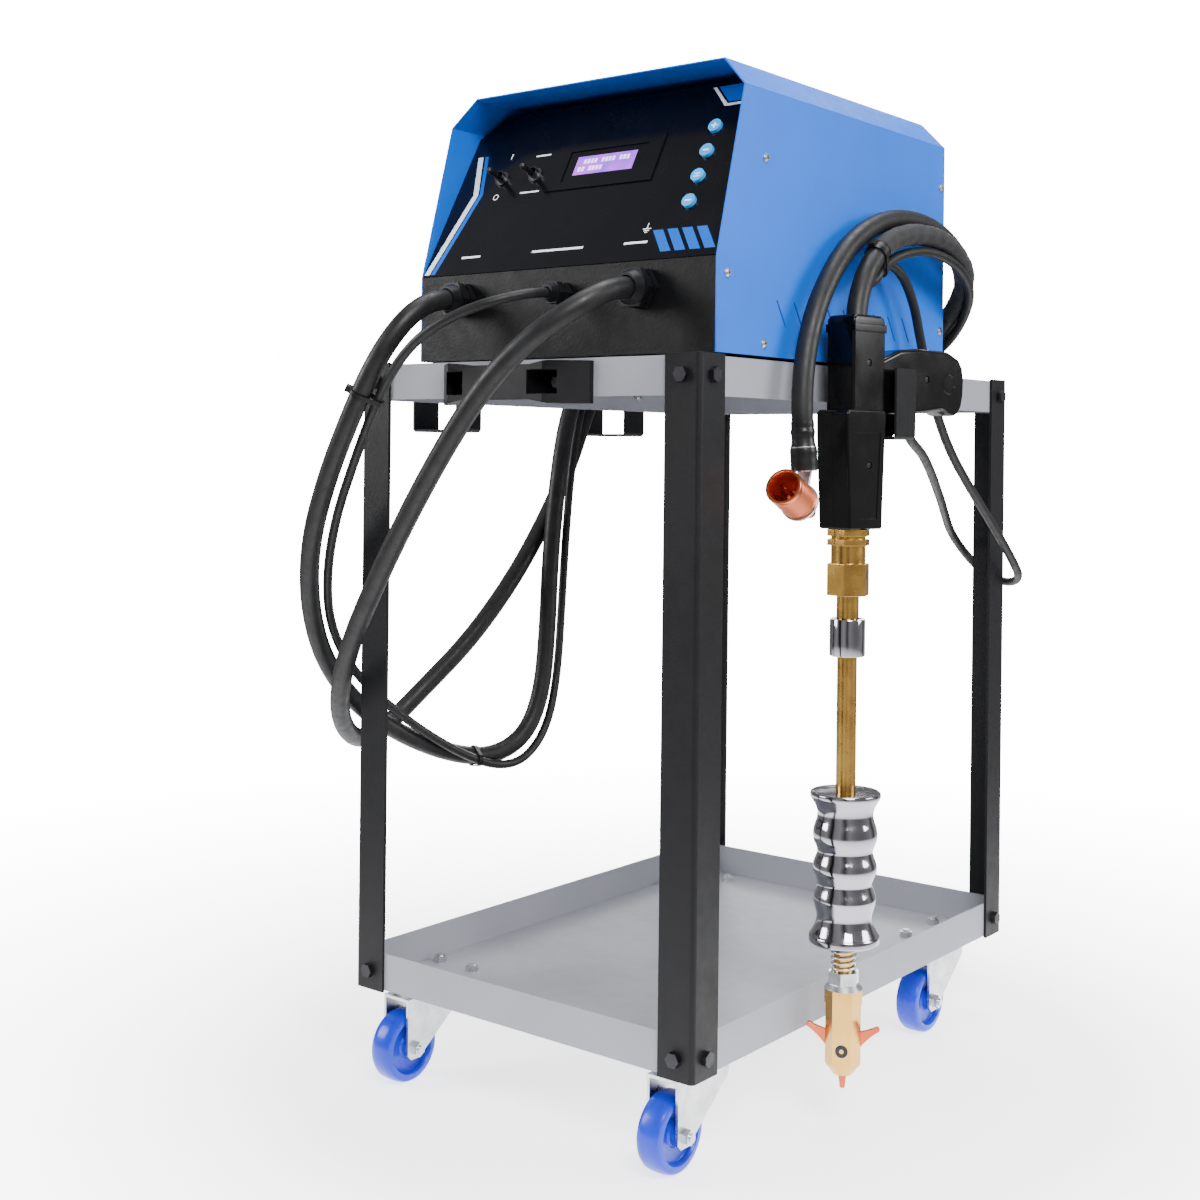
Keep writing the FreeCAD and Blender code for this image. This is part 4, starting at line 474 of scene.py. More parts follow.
EARTH_ROUTE = (
    (0.135, -0.3, 0.825), (0.135, -0.328, 0.825), (0.129, -0.358, 0.815), (0.114, -0.382, 0.798),
    (0.084, -0.398, 0.775), (0.039, -0.405, 0.737), (-0.014, -0.401, 0.682), (-0.074, -0.391, 0.614),
    (-0.137, -0.376, 0.539), (-0.197, -0.357, 0.467), (-0.244, -0.329, 0.405), (-0.278, -0.29, 0.362),
    (-0.302, -0.24, 0.338), (-0.312, -0.191, 0.348), (-0.298, -0.146, 0.388), (-0.269, -0.095, 0.445),
    (-0.254, -0.034, 0.517), (-0.251, 0.024, 0.592), (-0.249, 0.066, 0.66), (-0.251, 0.096, 0.72),
    (-0.248, 0.125, 0.7728), (-0.24, 0.156, 0.798), (-0.219, 0.191, 0.806), (-0.186, 0.214, 0.798),
    (-0.143, 0.233, 0.782), (-0.092, 0.242, 0.7719), (-0.035, 0.245, 0.7713), (0.023, 0.246, 0.771),
    (0.08, 0.245, 0.7709), (0.133, 0.24, 0.779), (0.178, 0.231, 0.803), (0.21, 0.214, 0.835),
    (0.231, 0.184, 0.869), (0.24, 0.145, 0.896), (0.242, 0.098, 0.914), (0.24, 0.049, 0.921),
    (0.239, -0.001, 0.918), (0.239, -0.049, 0.904), (0.239, -0.091, 0.882), (0.24, -0.126, 0.851),
    (0.24, -0.154, 0.815), (0.24, -0.172, 0.775), (0.241, -0.181, 0.733), (0.243, -0.183, 0.697),
    (0.244, -0.181, 0.664),
)
SIGNAL_ROUTE = (
    (0.038, -0.3, 0.825), (0.038, -0.328, 0.825), (0.024, -0.356, 0.819), (0.002, -0.378, 0.81),
    (-0.03, -0.391, 0.797), (-0.067, -0.395, 0.778), (-0.106, -0.39, 0.748), (-0.146, -0.378, 0.706),
    (-0.187, -0.364, 0.655), (-0.228, -0.35, 0.598), (-0.262, -0.331, 0.538), (-0.283, -0.308, 0.48),
    (-0.29, -0.271, 0.428), (-0.282, -0.229, 0.387), (-0.265, -0.182, 0.348), (-0.241, -0.136, 0.316),
    (-0.224, -0.092, 0.298), (-0.216, -0.052, 0.303), (-0.213, -0.017, 0.338), (-0.218, 0.006, 0.397),
    (-0.226, 0.022, 0.474), (-0.23, 0.033, 0.559), (-0.231, 0.043, 0.643), (-0.237, 0.065, 0.713),
    (-0.244, 0.096, 0.7662), (-0.239, 0.124, 0.794), (-0.215, 0.157, 0.801), (-0.183, 0.192, 0.789),
    (-0.14, 0.212, 0.774), (-0.091, 0.223, 0.7654), (-0.038, 0.229, 0.7655), (0.016, 0.231, 0.7655),
    (0.07, 0.228, 0.7653), (0.122, 0.224, 0.7684), (0.169, 0.212, 0.781), (0.207, 0.196, 0.802),
    (0.235, 0.176, 0.827), (0.255, 0.151, 0.85), (0.262, 0.12, 0.869), (0.263, 0.081, 0.882),
    (0.259, 0.041, 0.887), (0.256, 0.002, 0.882), (0.252, -0.03, 0.871), (0.252, -0.048, 0.859),
    (0.252, -0.064, 0.845), (0.243, -0.068, 0.841), (0.233, -0.064, 0.845), (0.232, -0.048, 0.857),
    (0.236, -0.03, 0.869), (0.241, -0.006, 0.87), (0.243, 0.018, 0.857), (0.243, 0.04, 0.831),
    (0.242, 0.056, 0.797), (0.242, 0.073, 0.759), (0.242, 0.096, 0.716), (0.239, 0.136, 0.674),
    (0.24, 0.187, 0.632), (0.242, 0.242, 0.589), (0.242, 0.295, 0.548), (0.237, 0.33, 0.523),
    (0.208, 0.349, 0.515), (0.176, 0.346, 0.53), (0.165, 0.317, 0.557), (0.168, 0.28, 0.58),
    (0.182, 0.239, 0.6), (0.201, 0.191, 0.618), (0.221, 0.142, 0.631), (0.241, 0.088, 0.651),
    (0.256, 0.038, 0.672), (0.265, -0.002, 0.683), (0.269, -0.025, 0.695), (0.269, -0.036, 0.713),
)


def route_line(name, route):
    """Points along the NURBS spline that has the route's points as its control points."""
    data = bpy.data.curves.new(f"{name}_route", "CURVE")
    data.dimensions = "3D"
    spline = data.splines.new("NURBS")
    spline.points.add(len(route) - 1)
    for point, place in zip(spline.points, route):
        point.co = (*on_trolley(*place), 1)
    spline.resolution_u = 12
    spline.order_u = 3
    spline.use_endpoint_u = True
    curve = bpy.data.objects.new(f"{name}_route", data)
    bpy.context.scene.collection.objects.link(curve)
    bpy.context.view_layer.update()
    graph = bpy.context.evaluated_depsgraph_get()
    mesh = bpy.data.meshes.new_from_object(curve.evaluated_get(graph))
    points = [v.co.copy() for v in mesh.vertices]
    bpy.data.meshes.remove(mesh)
    bpy.data.objects.remove(curve)
    return points


def line_length(points):
    return sum((b - a).length for a, b in zip(points, points[1:]))


def nearest_index(points, place):
    return min(range(len(points)), key=lambda k: (points[k] - place).length)


def tube_along(name, points, radius_at, segments=32):
    """Closed tube along points, with a radius from its own function of (part of the way, angle, distance)."""
    total = line_length(points)
    tangent = (points[1] - points[0]).normalized()
    side = tangent.orthogonal().normalized()
    verts = []
    rings = []
    gone = 0.0
    last = points[0]
    for k, point in enumerate(points):
        ahead = points[min(k + 1, len(points) - 1)] - points[max(k - 1, 0)]
        tangent = ahead.normalized()
        side = (side - tangent * side.dot(tangent)).normalized()
        across = tangent.cross(side)
        gone += (point - last).length
        last = point
        ring = []
        for n in range(segments):
            angle = 2 * math.pi * n / segments
            reach = radius_at(gone / total, angle, gone)
            ring.append(len(verts))
            verts.append(point + side * math.cos(angle) * reach + across * math.sin(angle) * reach)
        rings.append(ring)
    faces = [tuple(reversed(rings[0])), tuple(rings[-1])]
    for a, b in zip(rings, rings[1:]):
        faces += [(a[n], a[(n + 1) % segments], b[(n + 1) % segments], b[n]) for n in range(segments)]
    return tidy_normals(mesh_from(name, verts, faces), 60.0)


def evenly(points, step):
    """The same line, sampled at an even step."""
    out = [points[0]]
    want = step
    gone = 0.0
    for a, b in zip(points, points[1:]):
        run = (b - a).length
        while gone + run >= want:
            out.append(a.lerp(b, (want - gone) / run))
            want += step
        gone += run
    return out


CORDS = {}
for cord_name, cord_route, cord_diameter in (
        ("main_cable", MAIN_ROUTE, WELD_DIAMETER),
        ("earth_cable", EARTH_ROUTE, WELD_DIAMETER),
        ("signal_cable", SIGNAL_ROUTE, SIGNAL_DIAMETER)):
    cord_line = route_line(cord_name, cord_route)
    cord_piece = tube_along(f"{cord_name}_rubber", cord_line, lambda part, angle, gone: cord_diameter / 2, 28)
    finish_piece(cord_piece, CABLE_BLACK, "trolley", (cord_name,))
    CORDS[cord_name] = (cord_piece, cord_line)

main_piece, main_line = CORDS["main_cable"]
earth_piece, earth_line = CORDS["earth_cable"]
signal_piece, signal_line = CORDS["signal_cable"]


def add_sleeve():
    """Taped textile sleeve over the gun lead, from the unit's back corner to the tie at the gun."""
    start = nearest_index(main_line, on_trolley(0.215, 0.186, 0.831))
    end = nearest_index(main_line, on_trolley(0.252, -0.052, 0.878))
    line = evenly(main_line[start:end], 0.0016)

    def radius(part, angle, gone):
        ends = min(1.0, part / 0.02, (1 - part) / 0.02)
        wrap = 0.00022 * math.sin(gone * 330 + angle + 1.1 * math.sin(gone * 47))
        folds = 0.00022 * math.sin(gone * 96 + 2.0 * math.sin(angle + gone * 31))
        folds += 0.00016 * math.sin(3 * angle + gone * 140)
        return 0.01075 + 0.00045 * ends + wrap + folds

    sleeve = tube_along("gun_lead_sleeve", line, radius, 48)
    return finish_piece(sleeve, SLEEVE_BLACK, "trolley")


def add_shrinks():
    """Heat-shrink over the earth cable's end and the crimp barrel, with a bulge at each edge under it."""
    line = evenly(earth_line, 0.0015)[-26:]
    along = (line[-1] - line[-2]).normalized()
    line += [line[-1] + along * 0.0015 * k for k in range(1, 7)]

    def radius(part, angle, gone):
        over_barrel = 1 / (1 + math.exp(-(part - 0.50) / 0.03))
        neck = 0.0007 * math.exp(-((part - 0.22) / 0.06) ** 2)
        pinch = 0.0006 * math.exp(-((part - 0.80) / 0.05) ** 2)
        return 0.0111 + 0.0020 * over_barrel + neck - pinch * 0.3 + 0.00012 * math.sin(gone * 700)

    shrink = tube_along("earth_heat_shrink", line, radius, 36)
    return finish_piece(shrink, SHRINK_BLACK, "trolley")


def add_boot():
    """Ribbed rubber boot where the signal cable enters the grip."""
    line = evenly(signal_line, 0.0008)[-26:]

    def radius(part, angle, gone):
        return 0.0052 + 0.0022 * part + (0.0006 if math.sin(gone * 1900) > 0 else 0.0)

    boot = tube_along("signal_boot", line, radius, 28)
    return finish_piece(boot, SHRINK_BLACK, "trolley")


sleeve_piece = add_sleeve()
shrink_piece = add_shrinks()
boot_piece = add_boot()


# ---------------------------------------------------------------- trolley and unit

for post_corner in CORNERS:
    softened(f"post_{post_corner}", 0.0005, 2)
for hook in ("left_front_hook", "left_back_hook", "gun_hook"):
    softened(hook, 0.0005, 2)
for tray in ("top_tray", "bottom_tray"):
    softened(tray, 0.0005, 2)
softened("cover", 0.0005, 2)
for gland in ("main_gland", "signal_gland", "earth_gland", "mains_gland"):
    softened(gland, 0.0004, 2)


def add_handle():
    """The moulded handle with its edges rounded and a web that closes each bolt pocket to the finger gap."""
    low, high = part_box("front_handle")
    middle = (low.x + high.x) / 2
    handle = softened("front_handle", 0.0, 1)
    for side in (-1, 1):
        corners = [(44.6, 2.5), (38.4, 24), (42.6, 24), (49.6, 2.5)]
        outline = [(middle + side * x * MM, high.y - y * MM) for x, y in corners]
        verts = [(x, y, z) for z in (low.z + 0.0075, high.z - 0.0075) for x, y in outline]
        web = mesh_from("web", verts, BOX_FACES)
        boolean(handle, tidy_normals(web), "UNION")
        seat = [(middle + side * x * MM, high.y - y * MM) for x, y in ((45, 7), (79, 7), (76, 15), (40, 34))]
        verts = [(x, y, z) for z in (low.z + 0.0085, high.z - 0.0085) for x, y in seat]
        recess = mesh_from("recess", verts, BOX_FACES)
        boolean(handle, tidy_normals(recess), "DIFFERENCE")
    bevel(handle, 0.0014, 3)
    tidy_normals(handle, 50.0)
    even_shading(handle)


add_handle()


def add_painted_recess_shade():
    """Black crosses on the cover screws' heads: painted shade where their cross recesses are."""
    places = ((-280.0, 837), (-217, 775), (-217, 952), (143.5, 971), (143.5, 810))
    low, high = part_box("cover_screws")
    verts = []
    faces = []
    for face, out in ((low.x, -1), (high.x, 1)):
        for y, z in places:
            center = on_trolley(0, y * MM, z * MM)
            for wide, tall in ((0.0036, 0.0009), (0.0009, 0.0036)):
                first = len(verts)
                for x in (face - out * 0.0012, face + out * 0.00006):
                    verts += [(x, center.y + a * wide / 2, center.z + b * tall / 2)
                              for a, b in ((-1, -1), (1, -1), (1, 1), (-1, 1))]
                faces += [tuple(first + k for k in quad) for quad in BOX_FACES]
    # black-oxide crosses standing 0.06 mm proud of the heads, painted shade in place of cut recesses
    recess_shade = tidy_normals(mesh_from("cover_screw_recess_shade", verts, faces))
    finish_piece(recess_shade, BOLT_BLACK, "trolley")


add_painted_recess_shade()


def add_wheels():
    """Solid nylon wheels: crowned tread, rim, dished web and a raised hub on each side."""
    half = [
        (0.0042, 0.0147), (0.0098, 0.0147), (0.0110, 0.0135), (0.0115, 0.0085), (0.0135, 0.0068),
        (0.0240, 0.0066), (0.0262, 0.0080), (0.0275, 0.0125), (0.0285, 0.0134), (0.0325, 0.0134),
        (0.0352, 0.0122), (0.0368, 0.0095),
        (0.0374, 0.0050), (0.0375, 0.0),
    ]
    profile = half + [(r, -h) for r, h in reversed(half[:-1])]
    for name in CORNERS:
        low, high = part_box(f"caster_wheel_{name}")
        middle = (low + high) / 2
        matrix = Matrix.Translation(middle) @ Matrix.Rotation(math.pi / 2, 4, "Y")
        wheel = lathe(f"wheel_{name}_moulding", profile, 96, matrix)
        finish_piece(wheel, CASTER_BLUE, f"wheel_{name}", (f"caster_wheel_{name}",))


add_wheels()


# ---------------------------------------------------------------- control panel graphics

def flat_marks(name, shapes, lift, thick, material, body="trolley", matrix=None):
    """Thin printed or moulded marks on the panel, from outlines in panel millimetres."""
    verts = []
    faces = []
    for outline in shapes:
        first = len(verts)
        count = len(outline)
        for y in (-lift, -lift - thick):
            verts += [(x * MM, y, z * MM) for x, z in outline]
        faces.append(tuple(range(first, first + count)))
        faces.append(tuple(range(first + 2 * count - 1, first + count - 1, -1)))
        faces += [(first + k, first + k + count, first + (k + 1) % count + count, first + (k + 1) % count)
                  for k in range(count)]
    obj = tidy_normals(mesh_from(name, verts, faces, matrix or panel_matrix()))
    return finish_piece(obj, material, body)


def bar(x, z, width, height, lean=0.0):
    return [(x - width / 2, z - height / 2), (x + width / 2, z - height / 2),
            (x + width / 2 + lean, z + height / 2), (x - width / 2 + lean, z + height / 2)]


def disc(x, z, radius, count=40):
    return [(x + radius * math.cos(2 * math.pi * k / count), z + radius * math.sin(2 * math.pi * k / count))
            for k in range(count)]


def add_panel_graphics():
    # broken band along the left edge, corner field at the upper right, slanted bars at the lower right
    white = [
        [(-155, 3), (-148, 3), (-124, 104), (-140, 156), (-147, 156), (-131, 104)],
        [(146, 205), (150, 205), (170, 182), (217, 182), (217, 179), (168, 179)],
    ]
    blue = [
        [(-146, 3), (-140, 3), (-117, 104), (-132, 156), (-137, 156), (-122, 104)],
        [(153, 205), (188, 205), (216, 184), (171, 184)],
    ]
    for k in range(4):
        blue.append([(152 + 17 * k, 9), (164 + 17 * k, 9), (146 + 17 * k, 35), (134 + 17 * k, 35)])
    flat_marks("panel_white_bands", white, 0.00005, 0.00015, PRINT_WHITE)
    flat_marks("panel_blue_bands", blue, 0.00005, 0.00015, PRINT_BLUE)
    # plain bars where the outlets and switches are labelled, the earth sign, and on and off marks
    labels = [bar(-97, 22, 26, 2.6), bar(20, 22, 66, 2.6), bar(118, 22, 28, 2.6)]
    labels += [bar(126, 41, 0.9, 7)]
    labels += [bar(126, z, width, 0.9) for z, width in ((37.5, 10), (35.4, 6.4), (33.4, 3))]
    labels += [bar(-96, 151, 1.2, 7), bar(-50, 147, 20, 2.0), bar(-50, 100, 26, 2.0)]
    ring = [disc(-96, 98, 3.6)]
    flat_marks("panel_labels", labels, 0.00005, 0.00015, PRINT_WHITE)
    flat_marks("panel_off_mark", ring, 0.00005, 0.00012, PRINT_WHITE)
    flat_marks("panel_off_middle", [disc(-96, 98, 2.6)], 0.00017, 0.00008, PANEL_BLACK)
    # lit window with two rows of plain blocks
    flat_marks("display_window", [bar(40, 126, 76, 23)], 0.00052, 0.0003, WINDOW_LIT)
    rows = []
    for row, count in ((130.8, 14), (121.4, 8)):
        for k in range(count):
            if (k * 7 + int(row)) % 5 != 0:
                rows.append(bar(8.5 + 4.6 * k, row, 3.3, 5.6))
    flat_marks("display_blocks", rows, 0.00084, 0.00008, WINDOW_MARK)


add_panel_graphics()


def add_button_marks():
    shapes = {
        "button_enter": [bar(0, 0, 7.4, 1.5)],
        "button_menu": [bar(0, 1.5, 7.0, 1.1), bar(0, -1.5, 7.0, 1.1)],
        "button_minus": [bar(0, 0, 6.6, 1.7)],
        "button_plus": [bar(0, 0, 7.0, 1.7), bar(0, 2.1, 1.7, 2.6), bar(0, -2.1, 1.7, 2.6)],
    }
    into = panel_matrix().inverted()
    for name, marks in shapes.items():
        low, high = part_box(name)
        middle = into @ ((low + high) / 2)
        proud = min((into @ v.co).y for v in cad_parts[name].data.vertices)
        moved = [[(x + middle.x / MM, z + middle.z / MM) for x, z in mark] for mark in marks]
        flat_marks(f"{name}_glyph", moved, -proud, 0.00015, PRINT_WHITE, name)


add_button_marks()


# ---------------------------------------------------------------- gun

# half widths of the gun's lower body, upper body and grip
LOW_HALF = 0.0200
TOP_HALF = 0.0178
GRIP_HALF = 0.0150
SCREW_DEPTH = 0.0026
# outlines of the gun's body in its own frame: millimetres along the grip and up the rod
BODY_LOW = [
    (-27.5, 711), (-27, 690), (-21.5, 597), (27.5, 597), (31.5, 694), (33, 712), (30, 714.5), (-24, 714.5),
]
BODY_TOP = [(-12, 808), (-16, 803), (-16, 705), (33, 705), (33, 801), (31, 806), (26, 808)]
FLANK = [(-9, 607), (19, 607), (24, 692), (-17, 692)]
BODY_BAND = [(-16, 799), (-16, 791), (33, 791), (33, 799)]
GRIP = [
    (28, 711), (62, 711), (100, 714), (132, 718), (140, 713), (148, 711), (156, 713), (163, 721),
    (166, 733), (167, 750), (165, 762), (158, 771), (140, 778), (90, 779), (60, 776), (28, 764),
]
GUARD = [
    (30, 700), (36, 689.3), (60, 689.3), (70, 702), (72, 714), (62, 714), (61, 702), (57, 692.8),
    (37.5, 692.8), (36, 714), (30, 714),
]


def metres(outline):
    return [(y * MM, z * MM) for y, z in outline]


def shell_half(name, side):
    """One moulded half: lower body, narrower top with a ledge under it, rounded grip and guard."""
    parts = []
    for outline, half, edge in (
            (BODY_LOW, LOW_HALF, 0.0034), (BODY_TOP, TOP_HALF, 0.0030), (BODY_BAND, 0.0190, 0.0008),
            (GRIP, GRIP_HALF, 0.0062), (GUARD, 0.0070, 0.0012)):
        block = extruded(f"{name}_block", metres(outline), -half, half)
        parts.append(bevel(block, edge, 4, 25.0))
    shell = parts[0]
    for part in parts[1:]:
        boolean(shell, part, "UNION")
    for low, high in ((0.0192, 0.0206), (-0.0206, -0.0192)):
        flank = extruded("flank", metres(FLANK), low, high)
        boolean(shell, bevel(flank, 0.0006, 2), "DIFFERENCE")
    half_space = mesh_from("half_space", [
        (side * x, y, z) for x in (0.00012, 0.1) for y in (-0.1, 0.3) for z in (0.5, 0.9)
    ], [(0, 1, 3, 2), (4, 6, 7, 5), (0, 4, 5, 1), (2, 3, 7, 6), (0, 2, 6, 4), (1, 5, 7, 3)])
    tidy_normals(half_space)
    boolean(shell, half_space, "INTERSECT")
    cutters = [
        extruded("slot", metres([(38.4, 704), (51.6, 704), (51.6, 726), (38.4, 726)]), -0.0064, 0.0064),
        lathe("lead", [(0, 0.78), (0.0135, 0.78), (0.0135, 0.82), (0, 0.82)], 48,
              Matrix.Translation((0, 0.009, 0))),
        lathe("nose", [(0, 0.59), (0.0103, 0.59), (0.0103, 0.602), (0, 0.602)], 48),
    ]
    for y, z in ((8, 761), (8, 660), (60, 748), (104, 748)):
        face = TOP_HALF if z == 761 else LOW_HALF if z == 660 else GRIP_HALF
        turn = Matrix.Translation((side * face, y * MM, z * MM)) @ Matrix.Rotation(math.pi / 2, 4, "Y")
        hole = [(0, -0.003), (0.0033, -0.003), (0.0038, 0.003), (0, 0.003)]
        cutters.append(lathe("screw_hole", hole, 32, turn))
    for cutter in cutters:
        boolean(shell, cutter, "DIFFERENCE")
    shell.data.transform(gun_matrix())
    tidy_normals(shell, 40.0)
    even_shading(shell)
    return finish_piece(shell, GUN_BLACK, "trolley", (name,))


shell_half("gun_shell_right", 1)
shell_half("gun_shell_left", -1)


def add_shell_details():
    """Screws sunk in the flank holes and the round plug in each side of the grip's end."""
    pieces = []
    profile = [
        (0, 0), (0.0030, 0), (0.0030, 0.0011), (0.0024, 0.0017), (0.0009, 0.0018), (0.0007, 0.0010),
        (0, 0.0010),
    ]
    for side in (-1, 1):
        for y, z, face in ((8, 761, TOP_HALF), (8, 660, 0.0192), (60, 748, GRIP_HALF), (104, 748, GRIP_HALF)):
            seat = Matrix.Translation((side * (face - SCREW_DEPTH), y * MM, z * MM))
            turn = Matrix.Rotation(side * math.pi / 2, 4, "Y")
            pieces.append(lathe("shell_screw", profile, 24, seat @ turn))
    screws = pieces[0]
    work = bmesh.new()
    for piece in pieces:
        work.from_mesh(piece.data)
    work.to_mesh(screws.data)
    work.free()
    for piece in pieces[1:]:
        bpy.data.objects.remove(piece)
    screws.name = "gun_shell_screws"
    screws.data.transform(gun_matrix())
    tidy_normals(screws)
    finish_piece(screws, BOLT_BLACK, "trolley")
    for side, name in ((-1, "left"), (1, "right")):
        spot = Matrix.Translation((side * 0.0146, 0.140, 0.745)) @ Matrix.Rotation(side * math.pi / 2, 4, "Y")
        plug = lathe(f"grip_plug_{name}", [
            (0, 0), (0.0112, 0), (0.0112, 0.0004), (0.0104, 0.0010), (0.0092, 0.0010), (0.0086, 0.0005),
            (0, 0.0005),
        ], 48, gun_matrix() @ spot)
        finish_piece(plug, GUN_BLACK, "trolley")


add_shell_details()
softened("gun_trigger", 0.0008, 3, "gun_trigger")

# the hammer's turned outline: radius and height above its lower end, in millimetres
HAMMER = [
    (33.0, 0), (34.6, 1.2), (34.8, 3), (34.5, 7), (32.9, 9.5), (31.5, 12), (29.5, 16), (28.0, 20), (27.2, 26),
    (28.4, 32), (30.0, 38), (31.0, 43), (30.4, 47), (28.2, 53), (27.0, 58), (28.0, 62),
    (30.8, 69), (31.5, 74),
    (30.8, 79), (28.5, 85), (27.2, 90), (28.0, 94), (30.6, 100), (31.6, 107), (30.6, 114),
    (28.3, 121), (27.4, 127),
    (28.6, 133), (31.0, 138), (33.6, 142.2), (34.5, 144.5), (34.5, 147.6), (33.2, 149),
]


def add_hammer():
    low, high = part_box("slide_hammer")
    line = smooth_profile(HAMMER, 4)
    profile = [(0.00985, low.z)] + [(r * MM, low.z + h * MM) for r, h in line] + [(0.00985, high.z)]
    hammer = lathe("slide_hammer_turned", profile, 128, Matrix.Translation(GUN))
    finish_piece(hammer, CHROME, "slide_hammer", ("slide_hammer",))


add_hammer()


def add_rod():
    """Drawn brass rod with a small chamfer at each end, and the chromed stop collar under the chuck."""
    low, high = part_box("pull_rod")
    radius = (high.x - low.x) / 2
    rod = lathe("pull_rod_drawn", [(0, low.z), (radius - 0.0008, low.z), (radius, low.z + 0.0008),
                                   (radius, high.z - 0.0002), (radius - 0.0002, high.z), (0, high.z)],
                96, Matrix.Translation(GUN))
    finish_piece(rod, BRASS, "trolley", ("pull_rod",))
    low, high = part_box("stop_collar")
    outer = (high.x - low.x) / 2
    bore = radius + 0.00002
    profile = [
        (bore, low.z), (outer - 0.0016, low.z), (outer - 0.0005, low.z + 0.0005), (outer, low.z + 0.0016),
        (outer, high.z - 0.0016), (outer - 0.0005, high.z - 0.0005), (outer - 0.0016, high.z), (bore, high.z),
    ]
    collar = lathe("stop_collar_turned", profile, 96, Matrix.Translation(GUN))
    finish_piece(collar, CHROME, "trolley", ("stop_collar",))


add_rod()


def add_spring():
    """Round-wire spring with a closed coil at each end."""
    low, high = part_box("hammer_spring")
    wire = 0.0012
    mean = 0.0117
    turns = 5.5
    count = 260
    points = []
    for k in range(count + 1):
        part = k / count
        ease = min(max((part - 0.12) / 0.76, 0), 1)
        angle = 2 * math.pi * turns * part
        height = low.z + wire + (high.z - low.z - 2 * wire) * ease
        points.append(Vector((GUN.x + mean * math.cos(angle), GUN.y + mean * math.sin(angle), height)))
    spring = tube_along("hammer_spring_wire", points, lambda part, angle, gone: wire, 14)
    finish_piece(spring, ZINC, "trolley", ("hammer_spring",))


add_spring()

softened("star_tip", 0.0007, 3, "star_tip")
softened("tip_holder", 0.0004, 2)
softened("chuck", 0.0005, 2)


def add_pin_heads():
    """Blackened ends of the star's pin, on both flats of the tip holder."""
    place = gun_matrix(HOLDER_TURN) @ Matrix.Translation((0, 0, PIN_HEIGHT))
    for side in (-1, 1):
        spot = place @ Matrix.Translation((side * PIN_REACH, 0, 0))
        head = lathe("pin_head", [
            (0, -0.0012), (0.0061, -0.0012), (0.0061, 0.0001), (0.0055, 0.0006), (0.0024, 0.0006),
            (0.0020, -0.0004), (0, -0.0004),
        ], 48, spot @ Matrix.Rotation(side * math.pi / 2, 4, "Y"))
        finish_piece(head, BOLT_BLACK, "trolley")


add_pin_heads()
softened("nose_rings", 0.0004, 2)
softened("lock_nut", 0.0004, 2)


# ---------------------------------------------------------------- earth clamp

CUP_CENTER = on_trolley(0.246, -0.1905, 0.6237)
CUP_AXIS = Vector((0.127, -0.916, 0.380)).normalized()


def cup_matrix():
    across = Vector((0, 0, 1)).cross(CUP_AXIS).normalized()
    upward = CUP_AXIS.cross(across)
    return Matrix.Translation(CUP_CENTER) @ Matrix((across, upward, CUP_AXIS)).transposed().to_4x4()


def add_cup():
    """Turned cup with a diamond knurl outside, a polished cone inside with its point, and a tail pin."""
    outer = [
        (0, -28), (4.5, -28), (5.8, -26.8), (6, -26), (6, 0), (6, 3), (16.6, 3), (17.4, 3.8), (17.4, 6.5),
        (16.6, 7.2),
    ]
    knurl = [(17.45, 7.8 + 0.55 * k) for k in range(53)]
    rim = [(16.6, 37.6), (17.9, 38.4), (18, 39), (18, 42), (17.4, 43), (15.6, 43), (14.8, 42)]
    inside = [(13.6, 34), (9.5, 20), (7, 14), (3.2, 13), (2.6, 16), (1.6, 35), (0.9, 37.6), (0, 38)]

    def wobble(angle, radius, height):
        if not 0.0078 <= height <= 0.037 or radius < 0.017:
            return 0.0
        a = math.sin(30 * angle + height * 1750)
        b = math.sin(30 * angle - height * 1750)
        return 0.00042 * (abs(a) + abs(b)) - 0.00042

    profile = [(r * MM, h * MM) for r, h in outer + knurl + rim + inside]
    cup = lathe("earth_cup_turned", profile, 300, cup_matrix(), wobble)
    finish_piece(cup, CUP_COPPER, "trolley", ("earth_cup",))
    return cup


cup_piece = add_cup()
base_piece = softened("earth_base", 0.0003, 2)


# ---------------------------------------------------------------- studio

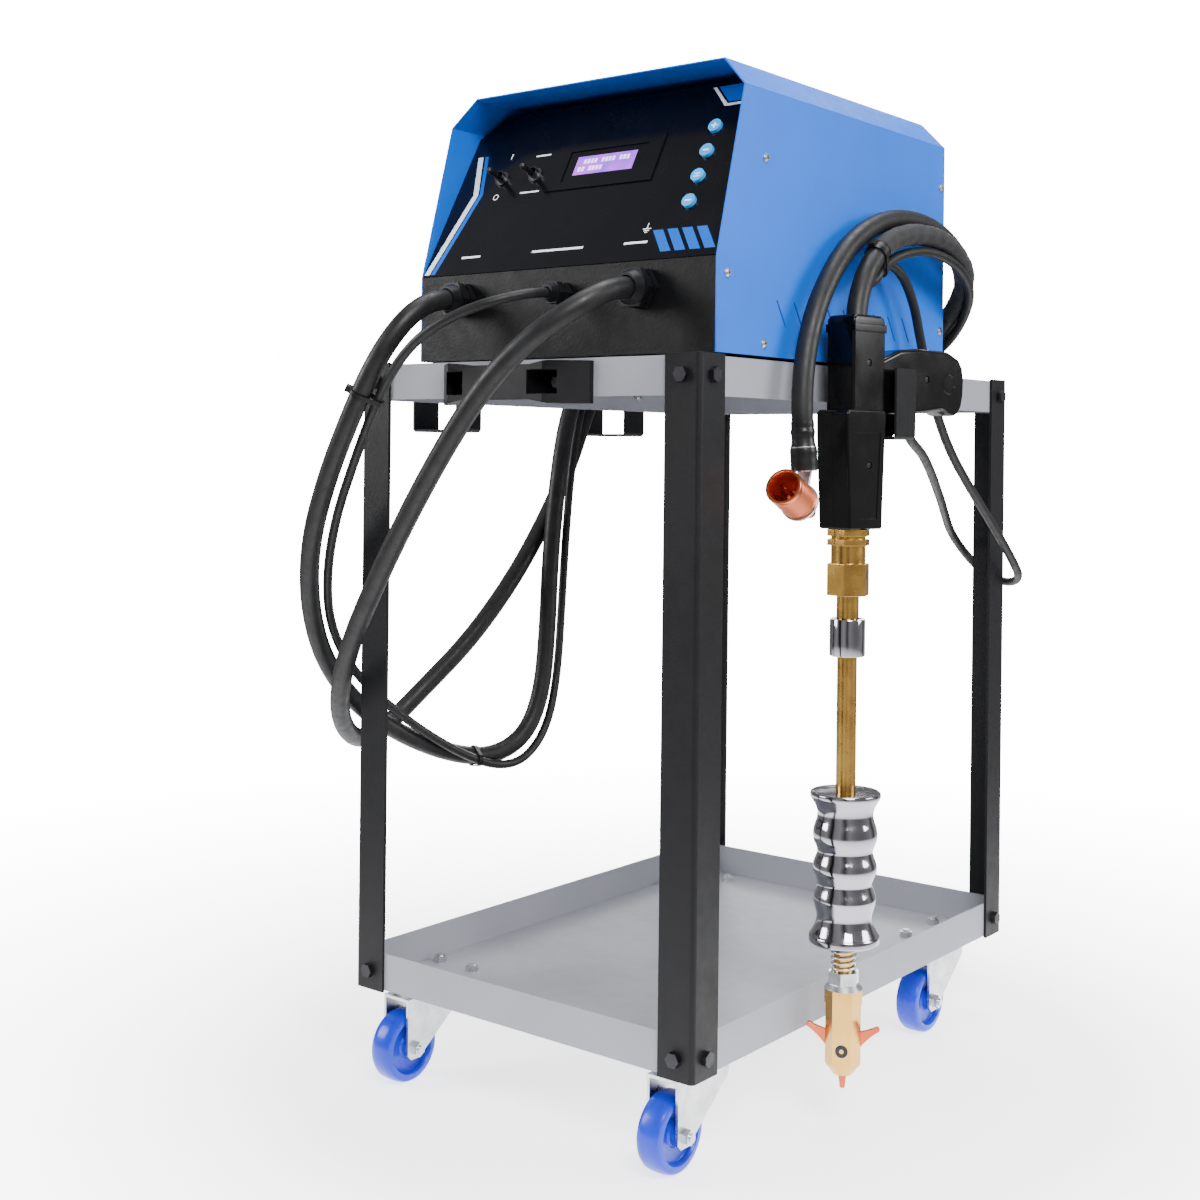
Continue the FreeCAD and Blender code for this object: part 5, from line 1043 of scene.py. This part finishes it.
def add_studio():
    floor_low = min(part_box(f"caster_wheel_{name}")[0].z for name in ("front_left", "front_right"))
    reach = 3.0
    edges = ((-reach, -reach), (reach, -reach), (reach, reach), (-reach, reach))
    floor = mesh_from("floor", [(x, y, floor_low) for x, y in edges], [(0, 1, 2, 3)])
    paint, tree, shader = new_material("pale_floor", (0.90, 0.90, 0.91), 0.7, specular=0.1)
    vary_color(tree, shader, noise(tree, 1.5, 2.0), (0.88, 0.88, 0.89), (0.92, 0.92, 0.93))
    shader.inputs["Emission Color"].default_value = (1.0, 1.0, 1.0, 1)
    shader.inputs["Emission Strength"].default_value = 2.2
    # the floor thins out into the white room beyond the object's shadow
    fade = tree.nodes.new("ShaderNodeTexGradient")
    fade.gradient_type = "SPHERICAL"
    link(tree, coordinates(tree, (1 / reach, 1 / reach, 1 / reach)), "Vector", fade, "Vector")
    spread = tree.nodes.new("ShaderNodeMapRange")
    spread.inputs["From Min"].default_value = 0.45
    spread.inputs["From Max"].default_value = 0.85
    link(tree, fade, "Fac", spread, "Value")
    clear = tree.nodes.new("ShaderNodeBsdfTransparent")
    mix = tree.nodes.new("ShaderNodeMixShader")
    link(tree, spread, "Result", mix, "Fac")
    link(tree, clear, "BSDF", mix, 1)
    link(tree, shader, "BSDF", mix, 2)
    link(tree, mix, "Shader", tree.nodes["Material Output"], "Surface")
    floor.data.materials.append(paint)
    world = bpy.data.worlds.new("studio")
    world.use_nodes = True
    tree = world.node_tree
    soft = tree.nodes["Background"]
    soft.inputs["Strength"].default_value = 0.62
    # the room round the object: bright overhead, with darker walls that give metal its dark bands
    place = tree.nodes.new("ShaderNodeTexCoord")
    split = tree.nodes.new("ShaderNodeSeparateXYZ")
    ramp = tree.nodes.new("ShaderNodeValToRGB")
    spread = tree.nodes.new("ShaderNodeMapRange")
    spread.inputs["From Min"].default_value = -1.0
    link(tree, place, "Generated", split, "Vector")
    link(tree, split, "X", spread, "Value")
    stops = (
        (0.0, 0.55), (0.18, 0.9), (0.30, 0.10), (0.42, 0.75), (0.60, 1.0), (0.74, 0.12), (0.86, 0.9),
        (1.0, 0.5),
    )
    ramp.color_ramp.elements[0].color = (*[stops[0][1]] * 3, 1)
    ramp.color_ramp.elements[1].color = (*[stops[-1][1]] * 3, 1)
    for at, level in stops[1:-1]:
        ramp.color_ramp.elements.new(at).color = (level, level, level * 1.02, 1)
    link(tree, spread, "Result", ramp, "Fac")
    link(tree, ramp, "Color", soft, "Color")
    plain = tree.nodes.new("ShaderNodeBackground")
    plain.inputs["Color"].default_value = (1.0, 1.0, 1.0, 1)
    plain.inputs["Strength"].default_value = 16.0
    path = tree.nodes.new("ShaderNodeLightPath")
    mix = tree.nodes.new("ShaderNodeMixShader")
    link(tree, path, "Is Camera Ray", mix, "Fac")
    link(tree, soft, "Background", mix, 1)
    link(tree, plain, "Background", mix, 2)
    link(tree, mix, "Shader", tree.nodes["World Output"], "Surface")
    bpy.context.scene.world = world
    for name, place, target, width, power in (
        ("key", (1.9, -1.6, 2.3), (0, 0, 0.7), 1.2, 130),
        ("fill", (-2.2, -1.9, 1.5), (0, 0, 0.6), 1.2, 80),
        ("side", (2.6, 1.2, 1.6), (0.2, 0, 0.6), 1.2, 70),
        ("top", (0.0, 0.3, 2.8), (0, 0, 0.9), 1.6, 80),
        ("back", (-1.2, 2.4, 1.8), (0, 0, 0.7), 1.2, 50),
    ):
        data = bpy.data.lights.new(name, "AREA")
        data.size = width
        data.energy = power
        lamp = bpy.data.objects.new(name, data)
        bpy.context.scene.collection.objects.link(lamp)
        lamp.location = place
        lamp.rotation_euler = (Vector(target) - Vector(place)).to_track_quat("-Z", "Y").to_euler()


add_studio()
